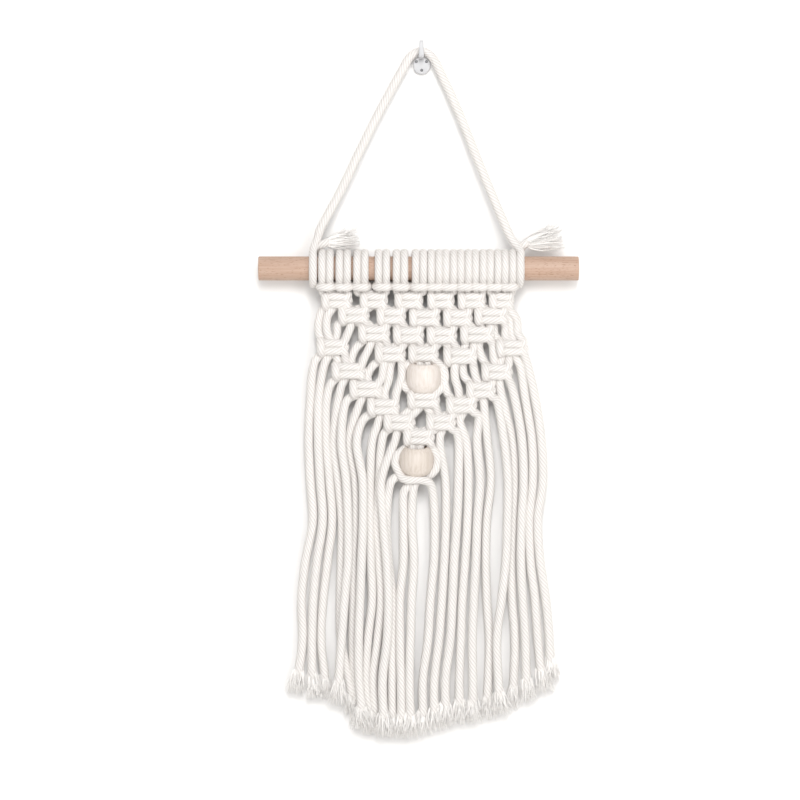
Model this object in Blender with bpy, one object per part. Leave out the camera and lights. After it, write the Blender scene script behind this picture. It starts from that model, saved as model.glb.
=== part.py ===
"""Macrame wall hanging: twelve folded cotton cords on a beech dowel, worked into a V of square
knots with two wooden beads and a long fringe, and hung by one more cord from a small hook.

Metres, +Z up. The origin is the centre of the hook's flat back, which lies in the plane y = 0,
and the front faces -Y. Sizes in the constants and tables below are millimetres.
"""

import math

import bmesh
import bpy
from mathutils import Matrix, Vector

MM = 0.001
CLEAR = 0.35
SLIVER = 0.1

# Hook: a disc with an arm that runs forward and turns up into a prong.
DISC_RADIUS = 5.25
DISC_DEPTH = 3.4
ARM_X = -0.3
ARM_WIDTH = 3.2
PRONG_TOP_WIDTH = 2.3
PRONG_TOP = 14.4
PRONG_FRONT = -11.6
PRONG_DEPTH = 2.4
ARM_UNDER = 2.6
PIN_RADIUS = 0.95
PIN_HEIGHT = 0.6
PINS = {"left": (-3.3, 2.2), "right": (2.9, 2.2), "low": (0.0, -3.0)}

# Dowel, lying along X.
DOWEL_RADIUS = 7.2
DOWEL_LENGTH = 192.0
DOWEL_X = -2.0
DOWEL_Y = -12.9
DOWEL_Z = -122.7
DOWEL_EDGE = 0.6

# Cords. The knots pull the cord tight, so it is thinner there than where it hangs.
HANGER_RADIUS = 2.8
WRAP_DEPTH = 4.5
LEG_RADIUS = 2.0
PAIR_RADIUS = 2.6
TOOTH_RADIUS = 2.1
TOOTH_SLACK = 0.6
TIP_FLARE = 1.3
SPINE_RADIUS = 1.9
ROUND_STEPS = 9

# Lark's heads on the dowel: the middle of each one along X. Each is two wraps side by side.
HEAD_HALF_WIDTH = 4.2
HEAD_CENTRES = (-57.4, -47.0, -36.5, -23.6, -12.8, -1.4, 7.9, 16.7, 25.6, 34.4, 43.2, 52.0)
HEAD_BAR_RADIUS = 2.2
HEAD_BAR_DROP = 11.4
HEAD_BAR_FORWARD = 5.5

# Hitches at the ends of the heading.
HITCHES = {
    "left": {"ring_x": -65.0, "tail_end": (-38.5, -15.0, -105.6), "fan": 3.4},
    "right": {"ring_x": 58.9, "tail_end": (82.5, -15.0, -103.0), "fan": 5.6},
}
HITCH_HALF_WIDTH = 2.2
TAIL_RADIUS = 2.2
TAIL_FLATTEN = 0.55

# Square knots of the net: name, middle x, middle z, half width, first of the four cords.
KNOT_COLUMNS = ("name", "x", "z", "half", "first")
KNOTS = (
    ("row1_1", -50.9, -142.0, 9.2, 1),
    ("row1_2", -28.7, -142.0, 8.1, 5),
    ("row1_3", -7.7, -142.0, 8.3, 9),
    ("row1_4", 11.5, -142.0, 7.7, 13),
    ("row1_5", 30.1, -142.0, 8.2, 17),
    ("row1_6", 47.8, -142.0, 7.0, 21),
    ("row2_1", -40.7, -150.8, 9.3, 3),
    ("row2_2", -18.2, -151.4, 8.6, 7),
    ("row2_3", 1.8, -152.4, 9.3, 11),
    ("row2_4", 21.7, -152.4, 8.7, 15),
    ("row2_5", 41.8, -151.4, 10.6, 19),
    ("row3_1", -28.5, -161.8, 9.6, 5),
    ("row3_2", -7.9, -162.8, 9.3, 9),
    ("row3_3", 12.1, -163.2, 9.0, 13),
    ("row3_4", 33.5, -162.4, 10.8, 17),
    ("row4_1", -18.8, -174.0, 9.3, 7),
    ("row4_2", 1.1, -174.2, 9.0, 11),
    ("row4_3", 23.2, -175.4, 10.5, 15),
    ("left_1", -53.3, -170.0, 9.6, 1),
    ("left_2", -43.7, -184.2, 10.5, 3),
    ("left_3", -33.3, -195.0, 10.2, 5),
    ("right_1", 54.1, -170.4, 9.6, 21),
    ("right_2", 45.1, -184.8, 9.3, 19),
    ("right_3", 35.5, -195.8, 8.7, 17),
    ("centre", 1.1, -201.6, 9.9, 11),
    ("left_4", -23.0, -205.8, 9.9, 7),
    ("right_4", 23.8, -204.8, 9.3, 15),
    ("left_5", -13.4, -215.1, 9.6, 9),
    ("right_5", 11.5, -215.1, 8.7, 13),
    ("point", -1.7, -224.0, 9.4, 11),
)
NET_Y = -11.8
KNOT_HALF_HEIGHT = 5.2
KNOT_HALF_DEPTH = 4.7
BAR_RISE = 2.3
# How far forward or back of each other the knots of a row lie, and the cords between them.
KNOT_SWAY = (0.25, -0.3)
CORD_SWAY = (-0.55, 0.1, 0.6)
# Degrees that the knots of a row are out of level.
KNOT_TILTS = (1.3, -0.9, 0.5, -1.7, 0.8)
# Places of the four cords across a knot, as shares of its half width.
SLOTS = (-0.78, -0.3, 0.3, 0.78)
LONG_LINK = 11.0
# Sideways bow of a cord on a long link, in the middle of the link.
BOWS = {1: -3.4, 2: -2.6, 3: -1.5, 19: -1.2, 23: 1.6, 24: 3.6}

# Beads: a ball with flat ends and a bore along Z.
BEAD_RADIUS = 10.4
BEAD_HALF_HEIGHT = 8.2
BORE_RADIUS = 5.3
BEADS = {"upper": (1.1, -187.9), "lower": (-3.3, -238.0)}
UPPER_CORE_RADIUS = 4.3
LOWER_CORE_RADIUS = 3.8
BESIDE_BEAD = 13.4
TIE = {"x": -5.6, "z": -250.0, "half": 6.2, "radius": 2.7}

# Fringe: where each strand leaves the net, its x at levels one step apart, and its tip.
LEVEL_TOP = -201.6
LEVEL_STEP = 24.0
STRAND_COLUMNS = ("exit_x", "exit_z", "levels", "tip_x", "tip_z")
STRANDS = {
    1: (-64.0, -174.0, (-67.0, -68.0, -67.0, -65.5, -69.8, -72.2, -71.6, -72.0), -75.5, -378.0),
    2: (-58.0, -175.2, (-62.0, -62.3, -61.1, -59.6, -63.0, -65.3, -66.0, -64.5), -66.0, -380.0),
    3: (-54.5, -187.8, (-57.2, -57.6, -55.7, -54.0, -56.6, -59.3, -60.5, -58.0), -57.0, -381.0),
    4: (-48.5, -190.2, (-52.4, -53.0, -50.4, -48.1, -48.5, -49.0, -48.5, -43.7), -40.0, -391.0),
    5: (-45.0, -198.0, (-46.7, -48.3, -45.5, -44.3, -44.3, -46.4, -48.2, -50.6), -51.0, -384.0),
    6: (-37.7, -201.0, (None, -43.9, -40.7, -40.1, -41.3, -41.3, -41.6, -40.4), -38.3, -396.0),
    7: (-34.7, -208.8, (None, -39.0, -35.6, -35.3, -36.2, -37.1, -38.0, -37.7), -34.7, -399.5),
    8: (-26.3, -211.8, (None, -29.7, -31.1, -31.1, -30.8, -30.0, -32.6, -33.8), -31.0, -401.5),
    9: (-22.7, -217.8, (None, -24.2, -25.7, -26.9, -25.7, -24.5, -26.6, -29.3), -27.0, -402.5),
    10: (-15.5, -220.2, (None, -17.2, -24.2, -23.3, -21.2, -20.0, -20.9, -23.6), -22.7, -404.0),
    11: (-15.5, -252.0, (None, None, None, -21.2, -20.0, -17.6, -18.0, -18.0), -18.0, -404.5),
    12: (-10.7, -257.0, (None, None, None, -11.0, -11.0, -13.1, -13.1, -12.5), -12.0, -404.5),
    13: (-5.3, -258.0, (None, None, None, -6.0, -4.7, -6.0, -6.8, -7.4), -6.5, -404.5),
    14: (3.7, -256.0, (None, None, None, 7.6, 7.3, 5.2, 3.7, 0.7), 0.7, -403.0),
    15: (10.8, -220.2, (None, 11.2, 14.2, 14.5, 13.6, 12.1, 10.3, 7.6), 7.3, -401.0),
    16: (21.1, -217.8, (None, 21.4, 22.0, 21.1, 19.5, 18.4, 17.0, 14.2), 14.5, -398.0),
    17: (22.9, -210.0, (None, 26.5, 28.0, 27.4, 26.1, 24.4, 23.5, 22.6), 22.3, -396.0),
    18: (33.7, -207.0, (None, 33.1, 34.9, 33.4, 32.5, 31.3, 30.4, 30.7), 30.7, -395.5),
    19: (37.3, -201.0, (None, 39.4, 41.5, 39.1, 38.5, 39.1, 40.6, 41.0), 39.1, -393.0),
    20: (44.5, -197.4, (None, 49.3, 51.7, 51.4, 50.5, 47.8, 45.1, 46.3), 47.0, -390.5),
    21: (47.0, -190.8, (48.7, 54.1, 55.6, 54.7, 53.8, 54.4, 56.0, 56.5), 54.7, -387.0),
    22: (53.5, -188.4, (56.0, 60.1, 61.2, 60.0, 59.5, 60.7, 62.2, 63.7), 63.1, -383.5),
    23: (59.0, -177.6, (62.2, 66.1, 66.7, 64.6, 65.2, 68.0, 69.7, 71.0), 72.7, -377.0),
    24: (63.0, -175.2, (68.2, 71.8, 72.7, 69.7, 71.0, 74.5, 76.6, 76.3), 77.5, -370.0),
}
SPINE_Y = -3.3
BACK_LAY = -7.6
FRONT_LAY = -12.2
LAY_DROP = 30.0
# The strip that the teeth grow from: behind the knots of the V and round the lower bead.
SPINE = (
    (-64.0, SPINE_Y, -172.5),
    (-53.5, SPINE_Y, -176.0),
    (-43.5, SPINE_Y, -188.5),
    (-33.0, SPINE_Y, -199.5),
    (-23.0, SPINE_Y, -210.5),
    (-16.5, -4.2, -220.0),
    (-16.8, -7.5, -230.0),
    (-17.2, -8.0, -240.0),
    (-16.6, -8.5, -249.0),
    (-12.0, -9.0, -256.4),
    (-4.0, -9.0, -258.6),
    (4.5, -9.0, -256.4),
    (9.6, -8.5, -249.0),
    (10.8, -8.0, -240.0),
    (11.2, -7.5, -230.0),
    (12.0, -4.2, -220.0),
    (23.5, SPINE_Y, -209.5),
    (35.0, SPINE_Y, -199.5),
    (45.5, SPINE_Y, -189.0),
    (54.0, SPINE_Y, -176.0),
    (63.0, SPINE_Y, -172.5),
)

# Hanging cord, from the top of the left hitch over the hook to the top of the right one.
HANGER_ROUTE = (
    (-62.0, -14.0, -102.8),
    (-60.9, -13.9, -99.4),
    (-48.5, -12.0, -76.0),
    (-37.4, -10.4, -52.6),
    (-26.5, -8.8, -30.6),
    (-12.7, -6.8, -3.0),
    (-6.6, -6.2, 5.6),
    (0.0, -6.1, 8.5),
    (6.2, -6.2, 4.8),
    (11.5, -6.8, -5.0),
    (21.7, -8.4, -27.6),
    (35.5, -10.5, -62.2),
    (49.5, -13.0, -96.0),
    (52.6, -13.8, -102.8),
)


def place(x, y, z):
    """The point (x, y, z) in millimetres, as a vector in metres."""
    return Vector((x, y, z)) * MM


def linear(hex_colour):
    """Linear RGBA of an sRGB colour written as #RRGGBB."""
    shares = [int(hex_colour[i : i + 2], 16) / 255 for i in (1, 3, 5)]
    curve = [s / 12.92 if s <= 0.04045 else ((s + 0.055) / 1.055) ** 2.4 for s in shares]
    return (*curve, 1.0)


def finish(name, hex_colour, roughness):
    """A plain Principled material."""
    material = bpy.data.materials.new(name)
    material.use_nodes = True
    shader = material.node_tree.nodes["Principled BSDF"]
    shader.inputs["Base Color"].default_value = linear(hex_colour)
    shader.inputs["Roughness"].default_value = roughness
    shader.inputs["Metallic"].default_value = 0.0
    material.diffuse_color = linear(hex_colour)
    return material


def add_object(name, data, material, collection=None):
    """Links a mesh or curve to the scene as one named object."""
    if material and not data.materials:
        data.materials.append(material)
    thing = bpy.data.objects.new(name, data)
    (collection or bpy.context.scene.collection).objects.link(thing)
    return thing


def closed_mesh(name, bm):
    """Turns a bmesh into a mesh with outward normals and smooth round sides."""
    bmesh.ops.remove_doubles(bm, verts=bm.verts, dist=0.00001)
    bmesh.ops.recalc_face_normals(bm, faces=bm.faces)
    mesh = bpy.data.meshes.new(name)
    bm.to_mesh(mesh)
    bm.free()
    mesh.shade_smooth()
    mesh.set_sharp_from_angle(angle=math.radians(40))
    return mesh


def mesh_of(thing):
    """The evaluated mesh of an object, which is then removed."""
    bpy.context.view_layer.update()
    graph = bpy.context.evaluated_depsgraph_get()
    mesh = bpy.data.meshes.new_from_object(thing.evaluated_get(graph))
    bpy.data.objects.remove(thing)
    return mesh


def smooth_route(points, per_span):
    """Points of a Catmull-Rom curve through the given ones, per_span for each span."""
    knots = [Vector(p) for p in points]
    before = [knots[0] * 2 - knots[1]] + knots[:-1]
    after = knots[1:] + [knots[-1] * 2 - knots[-2]]
    route = []
    for i in range(len(knots) - 1):
        a, b, c, d = before[i], knots[i], knots[i + 1], after[i + 1]
        for step in range(per_span):
            t = step / per_span
            route.append(
                0.5
                * (
                    2 * b
                    + (c - a) * t
                    + (2 * a - 5 * b + 4 * c - d) * t**2
                    + (3 * b - a - 3 * c + d) * t**3
                )
            )
    route.append(knots[-1])
    return route


def tube_curve(name, points, radius, resolution, flare=1.0):
    """A capped round tube along points in millimetres; flare widens its last point."""
    curve = bpy.data.curves.new(name, "CURVE")
    curve.dimensions = "3D"
    curve.bevel_depth = radius * MM
    curve.bevel_resolution = resolution
    curve.use_fill_caps = True
    spline = curve.splines.new("POLY")
    spline.points.add(len(points) - 1)
    for target, point in zip(spline.points, points):
        target.co = (*place(*point), 1.0)
    spline.points[-1].radius = flare
    return curve


def tube_mesh(name, points, radius, resolution=1, flare=1.0):
    """The mesh of a capped round tube."""
    return mesh_of(add_object(name, tube_curve(name, points, radius, resolution, flare), None))


def union_of(name, meshes):
    """One closed mesh from overlapping closed meshes, without the slivers where they cross."""
    pieces = bpy.data.collections.new(name + "_pieces")
    bpy.context.scene.collection.children.link(pieces)
    for number, mesh in enumerate(meshes[1:], 1):
        add_object(f"{name}_piece_{number}", mesh, None, pieces)
    body = add_object(name, meshes[0], None)
    union = body.modifiers.new("union", "BOOLEAN")
    union.operation = "UNION"
    union.solver = "EXACT"
    union.operand_type = "COLLECTION"
    union.collection = pieces
    mesh = mesh_of(body)
    for piece in list(pieces.objects):
        bpy.data.objects.remove(piece)
    bpy.data.collections.remove(pieces)
    bm = bmesh.new()
    bm.from_mesh(mesh)
    bmesh.ops.triangulate(bm, faces=bm.faces)
    bmesh.ops.dissolve_degenerate(bm, edges=bm.edges, dist=SLIVER * MM)
    bmesh.ops.triangulate(bm, faces=bm.faces)
    return closed_mesh(name, bm)


def bar_mesh(name, middle, half, radius_y, radius_z, tilt=0.0):
    """A six-sided bar with pointed ends along X, turned by tilt degrees about Y."""
    bm = bmesh.new()
    bmesh.ops.create_uvsphere(bm, u_segments=6, v_segments=3, radius=1.0)
    bmesh.ops.rotate(bm, verts=bm.verts, cent=(0, 0, 0), matrix=Matrix.Rotation(math.pi / 2, 3, "Y"))
    ring = math.cos(math.radians(30))
    for vert in bm.verts:
        side = math.copysign(1.0, vert.co.x)
        at_tip = abs(vert.co.x) > 0.9
        vert.co.x = side * (half if at_tip else half - 1.6) * MM
        vert.co.y *= radius_y / ring * MM
        vert.co.z *= radius_z / ring * MM
    turn = Matrix.Rotation(math.radians(tilt), 3, "Y")
    bmesh.ops.rotate(bm, verts=bm.verts, cent=(0, 0, 0), matrix=turn)
    bmesh.ops.translate(bm, verts=bm.verts, vec=place(*middle))
    return closed_mesh(name, bm)


def turned_mesh(name, outline, steps, axis):
    """A closed ring: the (along, radius) outline in millimetres turned about the X or Z axis."""
    bm = bmesh.new()
    if axis == "X":
        verts = [bm.verts.new(place(along, 0, radius)) for along, radius in outline]
        direction = (1, 0, 0)
    else:
        verts = [bm.verts.new(place(radius, 0, along)) for along, radius in outline]
        direction = (0, 0, 1)
    edges = [bm.edges.new((verts[i - 1], verts[i])) for i in range(len(verts))]
    bmesh.ops.spin(
        bm,
        geom=verts + edges,
        cent=(0, 0, 0),
        axis=direction,
        angle=math.tau,
        steps=steps,
        use_merge=True,
    )
    return closed_mesh(name, bm)


def cylinder_bmesh(radius, depth, segments, axis):
    """A closed cylinder in metres about the origin, along X or Y."""
    bm = bmesh.new()
    bmesh.ops.create_cone(
        bm,
        cap_ends=True,
        segments=segments,
        radius1=radius * MM,
        radius2=radius * MM,
        depth=depth * MM,
    )
    turn = Matrix.Rotation(math.pi / 2, 3, "Y" if axis == "X" else "X")
    bmesh.ops.rotate(bm, verts=bm.verts, cent=(0, 0, 0), matrix=turn)
    return bm


def rim_edges(bm, axis, place_along):
    """The edges that lie wholly in the plane at place_along on the given axis."""
    return [
        edge
        for edge in bm.edges
        if all(abs(vert.co[axis] - place_along) < 1e-6 for vert in edge.verts)
    ]


def build_hook(plastic):
    """Disc with a rounded front edge, joined to the arm and prong."""
    disc = cylinder_bmesh(DISC_RADIUS, DISC_DEPTH, 40, "Y")
    bmesh.ops.translate(disc, verts=disc.verts, vec=place(0, -DISC_DEPTH / 2, 0))
    bmesh.ops.bevel(
        disc,
        geom=rim_edges(disc, 1, -DISC_DEPTH * MM),
        offset=0.7 * MM,
        affect="EDGES",
        segments=2,
        profile=0.5,
    )
    prong_back = PRONG_FRONT + PRONG_DEPTH
    arm_top = DISC_RADIUS - 0.1
    outline = (
        (-DISC_DEPTH + 1.0, ARM_UNDER),
        (-DISC_DEPTH + 1.0, arm_top),
        (prong_back, arm_top),
        (prong_back + 0.3, PRONG_TOP - 1.0),
        (prong_back - 0.5, PRONG_TOP),
        (PRONG_FRONT + 0.7, PRONG_TOP),
        (PRONG_FRONT, PRONG_TOP - 1.0),
        (PRONG_FRONT, ARM_UNDER + 2.0),
        (PRONG_FRONT + 1.6, ARM_UNDER),
    )
    arm = bmesh.new()
    verts = [arm.verts.new(place(-ARM_WIDTH / 2, y, z)) for y, z in outline]
    side = arm.faces.new(verts)
    grown = bmesh.ops.extrude_face_region(arm, geom=[side])
    far = [part for part in grown["geom"] if isinstance(part, bmesh.types.BMVert)]
    bmesh.ops.translate(arm, verts=far, vec=place(ARM_WIDTH, 0, 0))
    for vert in arm.verts:
        height = max(0.0, (vert.co.z / MM - arm_top) / (PRONG_TOP - arm_top))
        vert.co.x *= 1.0 + height * (PRONG_TOP_WIDTH / ARM_WIDTH - 1.0)
        vert.co.x += ARM_X * MM
    bmesh.ops.recalc_face_normals(arm, faces=arm.faces)
    bmesh.ops.bevel(
        arm,
        geom=list(arm.edges),
        offset=0.35 * MM,
        affect="EDGES",
        segments=1,
        profile=0.5,
    )
    hook = union_of("wall_hook", [closed_mesh("hook_disc", disc), closed_mesh("hook_arm", arm)])
    add_object("wall_hook", hook, plastic)


def build_pins(steel):
    """Three low domed pin heads just in front of the disc."""
    for side, (x, z) in PINS.items():
        bm = cylinder_bmesh(PIN_RADIUS, PIN_HEIGHT, 16, "Y")
        bmesh.ops.bevel(
            bm,
            geom=rim_edges(bm, 1, -PIN_HEIGHT / 2 * MM),
            offset=0.3 * MM,
            affect="EDGES",
            segments=2,
            profile=0.5,
        )
        pin = add_object("hook_pin_" + side, closed_mesh("pin_" + side, bm), steel)
        pin.location = place(x, -DISC_DEPTH - CLEAR - PIN_HEIGHT / 2, z)


def build_dowel(beech):
    """Round rod with lightly eased ends."""
    bm = cylinder_bmesh(DOWEL_RADIUS, DOWEL_LENGTH, 32, "X")
    ends = rim_edges(bm, 0, DOWEL_LENGTH / 2 * MM) + rim_edges(bm, 0, -DOWEL_LENGTH / 2 * MM)
    bmesh.ops.bevel(
        bm,
        geom=ends,
        offset=DOWEL_EDGE * MM,
        affect="EDGES",
        segments=2,
        profile=0.5,
    )
    dowel = add_object("dowel", closed_mesh("dowel", bm), beech)
    dowel.location = place(DOWEL_X, DOWEL_Y, DOWEL_Z)


def wrap_outline(half_width, strands):
    """Section of side by side wraps: flat inside, one low crown for each strand outside."""
    inner = (DOWEL_RADIUS + CLEAR) / math.cos(math.pi / ROUND_STEPS)
    width = 2 * half_width / strands
    outline = [(-half_width, inner)]
    for strand in range(strands):
        left = -half_width + strand * width
        if strand:
            outline.append((left, inner + WRAP_DEPTH * 0.6))
        outline.append((left + width * 0.3, inner + WRAP_DEPTH))
        outline.append((left + width * 0.7, inner + WRAP_DEPTH))
    return outline + [(half_width, inner)]


def build_larks_heads(cotton):
    """Twelve lark's heads: two wraps round the dowel and the bight across their front."""
    wraps = turned_mesh("wraps", wrap_outline(HEAD_HALF_WIDTH, 2), ROUND_STEPS, "X")
    middle = (0, -HEAD_BAR_FORWARD, -HEAD_BAR_DROP)
    bight = bar_mesh("bight", middle, HEAD_HALF_WIDTH, HEAD_BAR_RADIUS, HEAD_BAR_RADIUS)
    head = union_of("larks_head", [wraps, bight])
    for number, x in enumerate(HEAD_CENTRES, 1):
        knot = add_object(f"larks_head_{number:02d}", head, cotton)
        knot.location = place(x, DOWEL_Y, DOWEL_Z)


def build_hitches(cotton):
    """One wrap round the dowel at each end of the heading, with its frayed tail on top."""
    for side, sizes in HITCHES.items():
        ring = turned_mesh("ring_" + side, wrap_outline(HITCH_HALF_WIDTH, 1), ROUND_STEPS, "X")
        ring.transform(Matrix.Translation(place(sizes["ring_x"], DOWEL_Y, DOWEL_Z)))
        crown = DOWEL_Z + DOWEL_RADIUS + CLEAR + WRAP_DEPTH
        end = Vector(sizes["tail_end"])
        start = Vector((sizes["ring_x"] - 1.0, end.y, crown + 1.0))
        points = [start, start.lerp(end, 0.25) + Vector((0, 0, 1.0)), start.lerp(end, 0.6), end]
        tail = tube_mesh("tail_" + side, points, TAIL_RADIUS, 2, sizes["fan"] / TAIL_RADIUS)
        flatten = Matrix.Diagonal((1.0, TAIL_FLATTEN, 1.0, 1.0))
        there = Matrix.Translation(place(0, end.y, 0))
        tail.transform(there @ flatten @ there.inverted())
        hitch = union_of("hitch_" + side, [ring, tail])
        add_object("hanger_hitch_" + side, hitch, cotton)


def build_hanger(cotton):
    """The hanging cord as one plain round tube."""
    route = smooth_route(HANGER_ROUTE, 2)
    add_object("hanger_cord", tube_curve("hanger_cord", route, HANGER_RADIUS, 2), cotton)


def knot_rows():
    """The knots as dictionaries, from the top of the net down, each with its y and tilt."""
    rows = [dict(zip(KNOT_COLUMNS, row)) for row in KNOTS]
    for number, knot in enumerate(rows):
        knot["y"] = NET_Y + KNOT_SWAY[number % len(KNOT_SWAY)]
        knot["tilt"] = KNOT_TILTS[number % len(KNOT_TILTS)]
    return rows


def slot_x(knot, cord):
    """The x of a cord in a knot."""
    return knot["x"] + SLOTS[cord - knot["first"]] * knot["half"]


def links():
    """(upper knot, lower knot, cords) for each pair of knots that share a pair of cords."""
    found = []
    for left in range(1, 25, 2):
        passed = [knot for knot in knot_rows() if knot["first"] in (left, left - 2)]
        for upper, lower in zip(passed, passed[1:]):
            if (upper["name"], lower["name"]) not in (("row4_2", "centre"),):
                found.append((upper, lower, (left, left + 1)))
    return found


def link_meshes():
    """The cords between the knots: a tube for each on a long link, one for both on a short."""
    meshes = []
    for upper, lower, cords in links():
        top = upper["z"] - BAR_RISE
        bottom = lower["z"] + BAR_RISE
        name = f"{upper['name']}_{lower['name']}_{cords[0]}"
        if top - bottom < LONG_LINK:
            high = sum(slot_x(upper, cord) for cord in cords) / 2
            low = sum(slot_x(lower, cord) for cord in cords) / 2
            y = NET_Y + CORD_SWAY[cords[0] % len(CORD_SWAY)]
            ends = [(high, y, top), (low, y, bottom)]
            meshes.append(tube_mesh(name, ends, PAIR_RADIUS))
            continue
        for cord in cords:
            y = NET_Y + CORD_SWAY[cord % len(CORD_SWAY)]
            start = Vector((slot_x(upper, cord), y, top))
            end = Vector((slot_x(lower, cord), y, bottom))
            bow = Vector((BOWS.get(cord, 0.0), 0, 0))
            points = [start, start.lerp(end, 0.35) + bow, start.lerp(end, 0.7) + bow, end]
            meshes.append(tube_mesh(f"{name}_{cord}", points, LEG_RADIUS))
    return meshes


def bead_cord_meshes():
    """The cords through both beads, those that pass beside the upper one, and the tie."""
    named = {knot["name"]: knot for knot in knot_rows()}
    above = named["row4_2"]
    below = named["centre"]
    x, z = BEADS["upper"]
    core = [(x, NET_Y, above["z"] - BAR_RISE), (x, NET_Y, below["z"] + BAR_RISE)]
    meshes = [tube_mesh("core_upper", core, UPPER_CORE_RADIUS, 2)]
    for side, cord in ((-1, 11), (1, 14)):
        start = Vector((slot_x(above, cord), NET_Y, above["z"] - BAR_RISE))
        beside = Vector((x + side * BESIDE_BEAD, NET_Y + 1.0, z))
        end = Vector((slot_x(below, cord), NET_Y, below["z"] + BAR_RISE))
        lift = Vector((0, 0, BESIDE_BEAD / 3))
        points = [start, beside + lift, beside - lift, end]
        meshes.append(tube_mesh(f"beside_{cord}", points, LEG_RADIUS))
    x, z = BEADS["lower"]
    core = [(x, NET_Y, named["point"]["z"] - BAR_RISE), (x, NET_Y, TIE["z"])]
    meshes.append(tube_mesh("core_lower", core, LOWER_CORE_RADIUS, 2))
    tie = (TIE["x"], NET_Y, TIE["z"])
    meshes.append(bar_mesh("tie", tie, TIE["half"], KNOT_HALF_DEPTH, TIE["radius"]))
    return meshes


def build_net(cotton):
    """Square knots, each two bars across its cords, and every cord between and below them."""
    meshes = []
    for knot in knot_rows():
        for rise in (BAR_RISE, -BAR_RISE):
            middle = (knot["x"], knot["y"], knot["z"] + rise)
            depth = KNOT_HALF_HEIGHT - BAR_RISE
            name = f"{knot['name']}_{'upper' if rise > 0 else 'lower'}"
            tilt = knot["tilt"]
            meshes.append(bar_mesh(name, middle, knot["half"], KNOT_HALF_DEPTH, depth, tilt))
    meshes += link_meshes()
    meshes += bead_cord_meshes()
    add_object("knotted_net", union_of("net", meshes), cotton)


def build_beads(maple):
    """Turned beads with flat ends and a wide bore."""
    top = math.asin(BEAD_HALF_HEIGHT / BEAD_RADIUS)
    spans = 8
    angles = [top - 2 * top * step / spans for step in range(spans + 1)]
    outline = [(BEAD_RADIUS * math.sin(a), BEAD_RADIUS * math.cos(a)) for a in angles]
    outline += [(-BEAD_HALF_HEIGHT, BORE_RADIUS), (BEAD_HALF_HEIGHT, BORE_RADIUS)]
    for side, (x, z) in BEADS.items():
        mesh = turned_mesh("bead_" + side, outline, 24, "Z")
        bead = add_object("bead_" + side, mesh, maple)
        bead.location = place(x, NET_Y, z)


def straightened(points, slack):
    """The points without those within slack of the line between the points beside them."""
    kept = [Vector(points[0])]
    for point, after in zip(points[1:], points[2:]):
        along = (Vector(after) - kept[-1]).normalized()
        reach = Vector(point) - kept[-1]
        if (reach - along * reach.dot(along)).length > slack:
            kept.append(Vector(point))
    return kept + [Vector(points[-1])]


def strip_point(x, z):
    """The point on the middle line of the strip that is nearest to (x, z) as seen from the front."""
    best = None
    for start, end in zip(SPINE, SPINE[1:]):
        start = Vector(start)
        along = Vector(end) - start
        reach = (x - start.x) * along.x + (z - start.z) * along.z
        share = min(1.0, max(0.0, reach / (along.x**2 + along.z**2)))
        point = start + along * share
        distance = math.hypot(point.x - x, point.z - z)
        if best is None or distance < best[0]:
            best = (distance, point)
    return best[1]


def tooth_route(number):
    """The route of one strand from the strip behind the net to its tip, in millimetres."""
    strand = dict(zip(STRAND_COLUMNS, STRANDS[number]))
    lay = FRONT_LAY if number % 2 == 0 else BACK_LAY
    start = strip_point(strand["exit_x"], strand["exit_z"])
    points = [start]
    for index, x in enumerate(strand["levels"]):
        z = LEVEL_TOP - index * LEVEL_STEP
        if x is None or z > start.z - 8.0:
            continue
        share = min(1.0, (start.z - z) / LAY_DROP)
        points.append((x, start.y + (lay - start.y) * share, z))
    points.append((strand["tip_x"], lay, strand["tip_z"]))
    return points


def build_fringe(cotton):
    """A comb: 24 teeth on one strip along the net's V edge."""
    meshes = [tube_mesh("spine", SPINE, SPINE_RADIUS)]
    for number in STRANDS:
        route = straightened(tooth_route(number), TOOTH_SLACK)
        meshes.append(tube_mesh(f"tooth_{number}", route, TOOTH_RADIUS, 1, TIP_FLARE))
    add_object("fringe", union_of("comb", meshes), cotton)


def main():
    """Clears the scene and builds every piece."""
    for thing in list(bpy.data.objects):
        bpy.data.objects.remove(thing)
    cotton = finish("cotton", "#F6F2ED", 0.95)
    beech = finish("beech", "#DCBDA2", 0.55)
    maple = finish("maple", "#F3E6D2", 0.5)
    plastic = finish("plastic", "#E8E8E8", 0.45)
    steel = finish("steel_pins", "#9FA0A2", 0.4)
    build_hook(plastic)
    build_pins(steel)
    build_dowel(beech)
    build_hanger(cotton)
    build_hitches(cotton)
    build_larks_heads(cotton)
    build_net(cotton)
    build_beads(maple)
    build_fringe(cotton)


main()
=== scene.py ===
"""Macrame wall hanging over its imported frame: twelve folded cotton cords on a beech dowel, worked
into a V of square knots with two wooden beads and a long frayed fringe, hung from a small hook.

Sizes and places in this file are millimetres until a mesh is made, and +Z is up. The wall is the
plane y = 0, the front faces -Y, and the origin is the centre of the hook's flat back.
"""

import logging
import math
import random
from dataclasses import dataclass, field, replace
from enum import Enum
from typing import Any, Iterable, Sequence

import bmesh
import bpy
import numpy as np
from mathutils import Matrix, Vector


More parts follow.
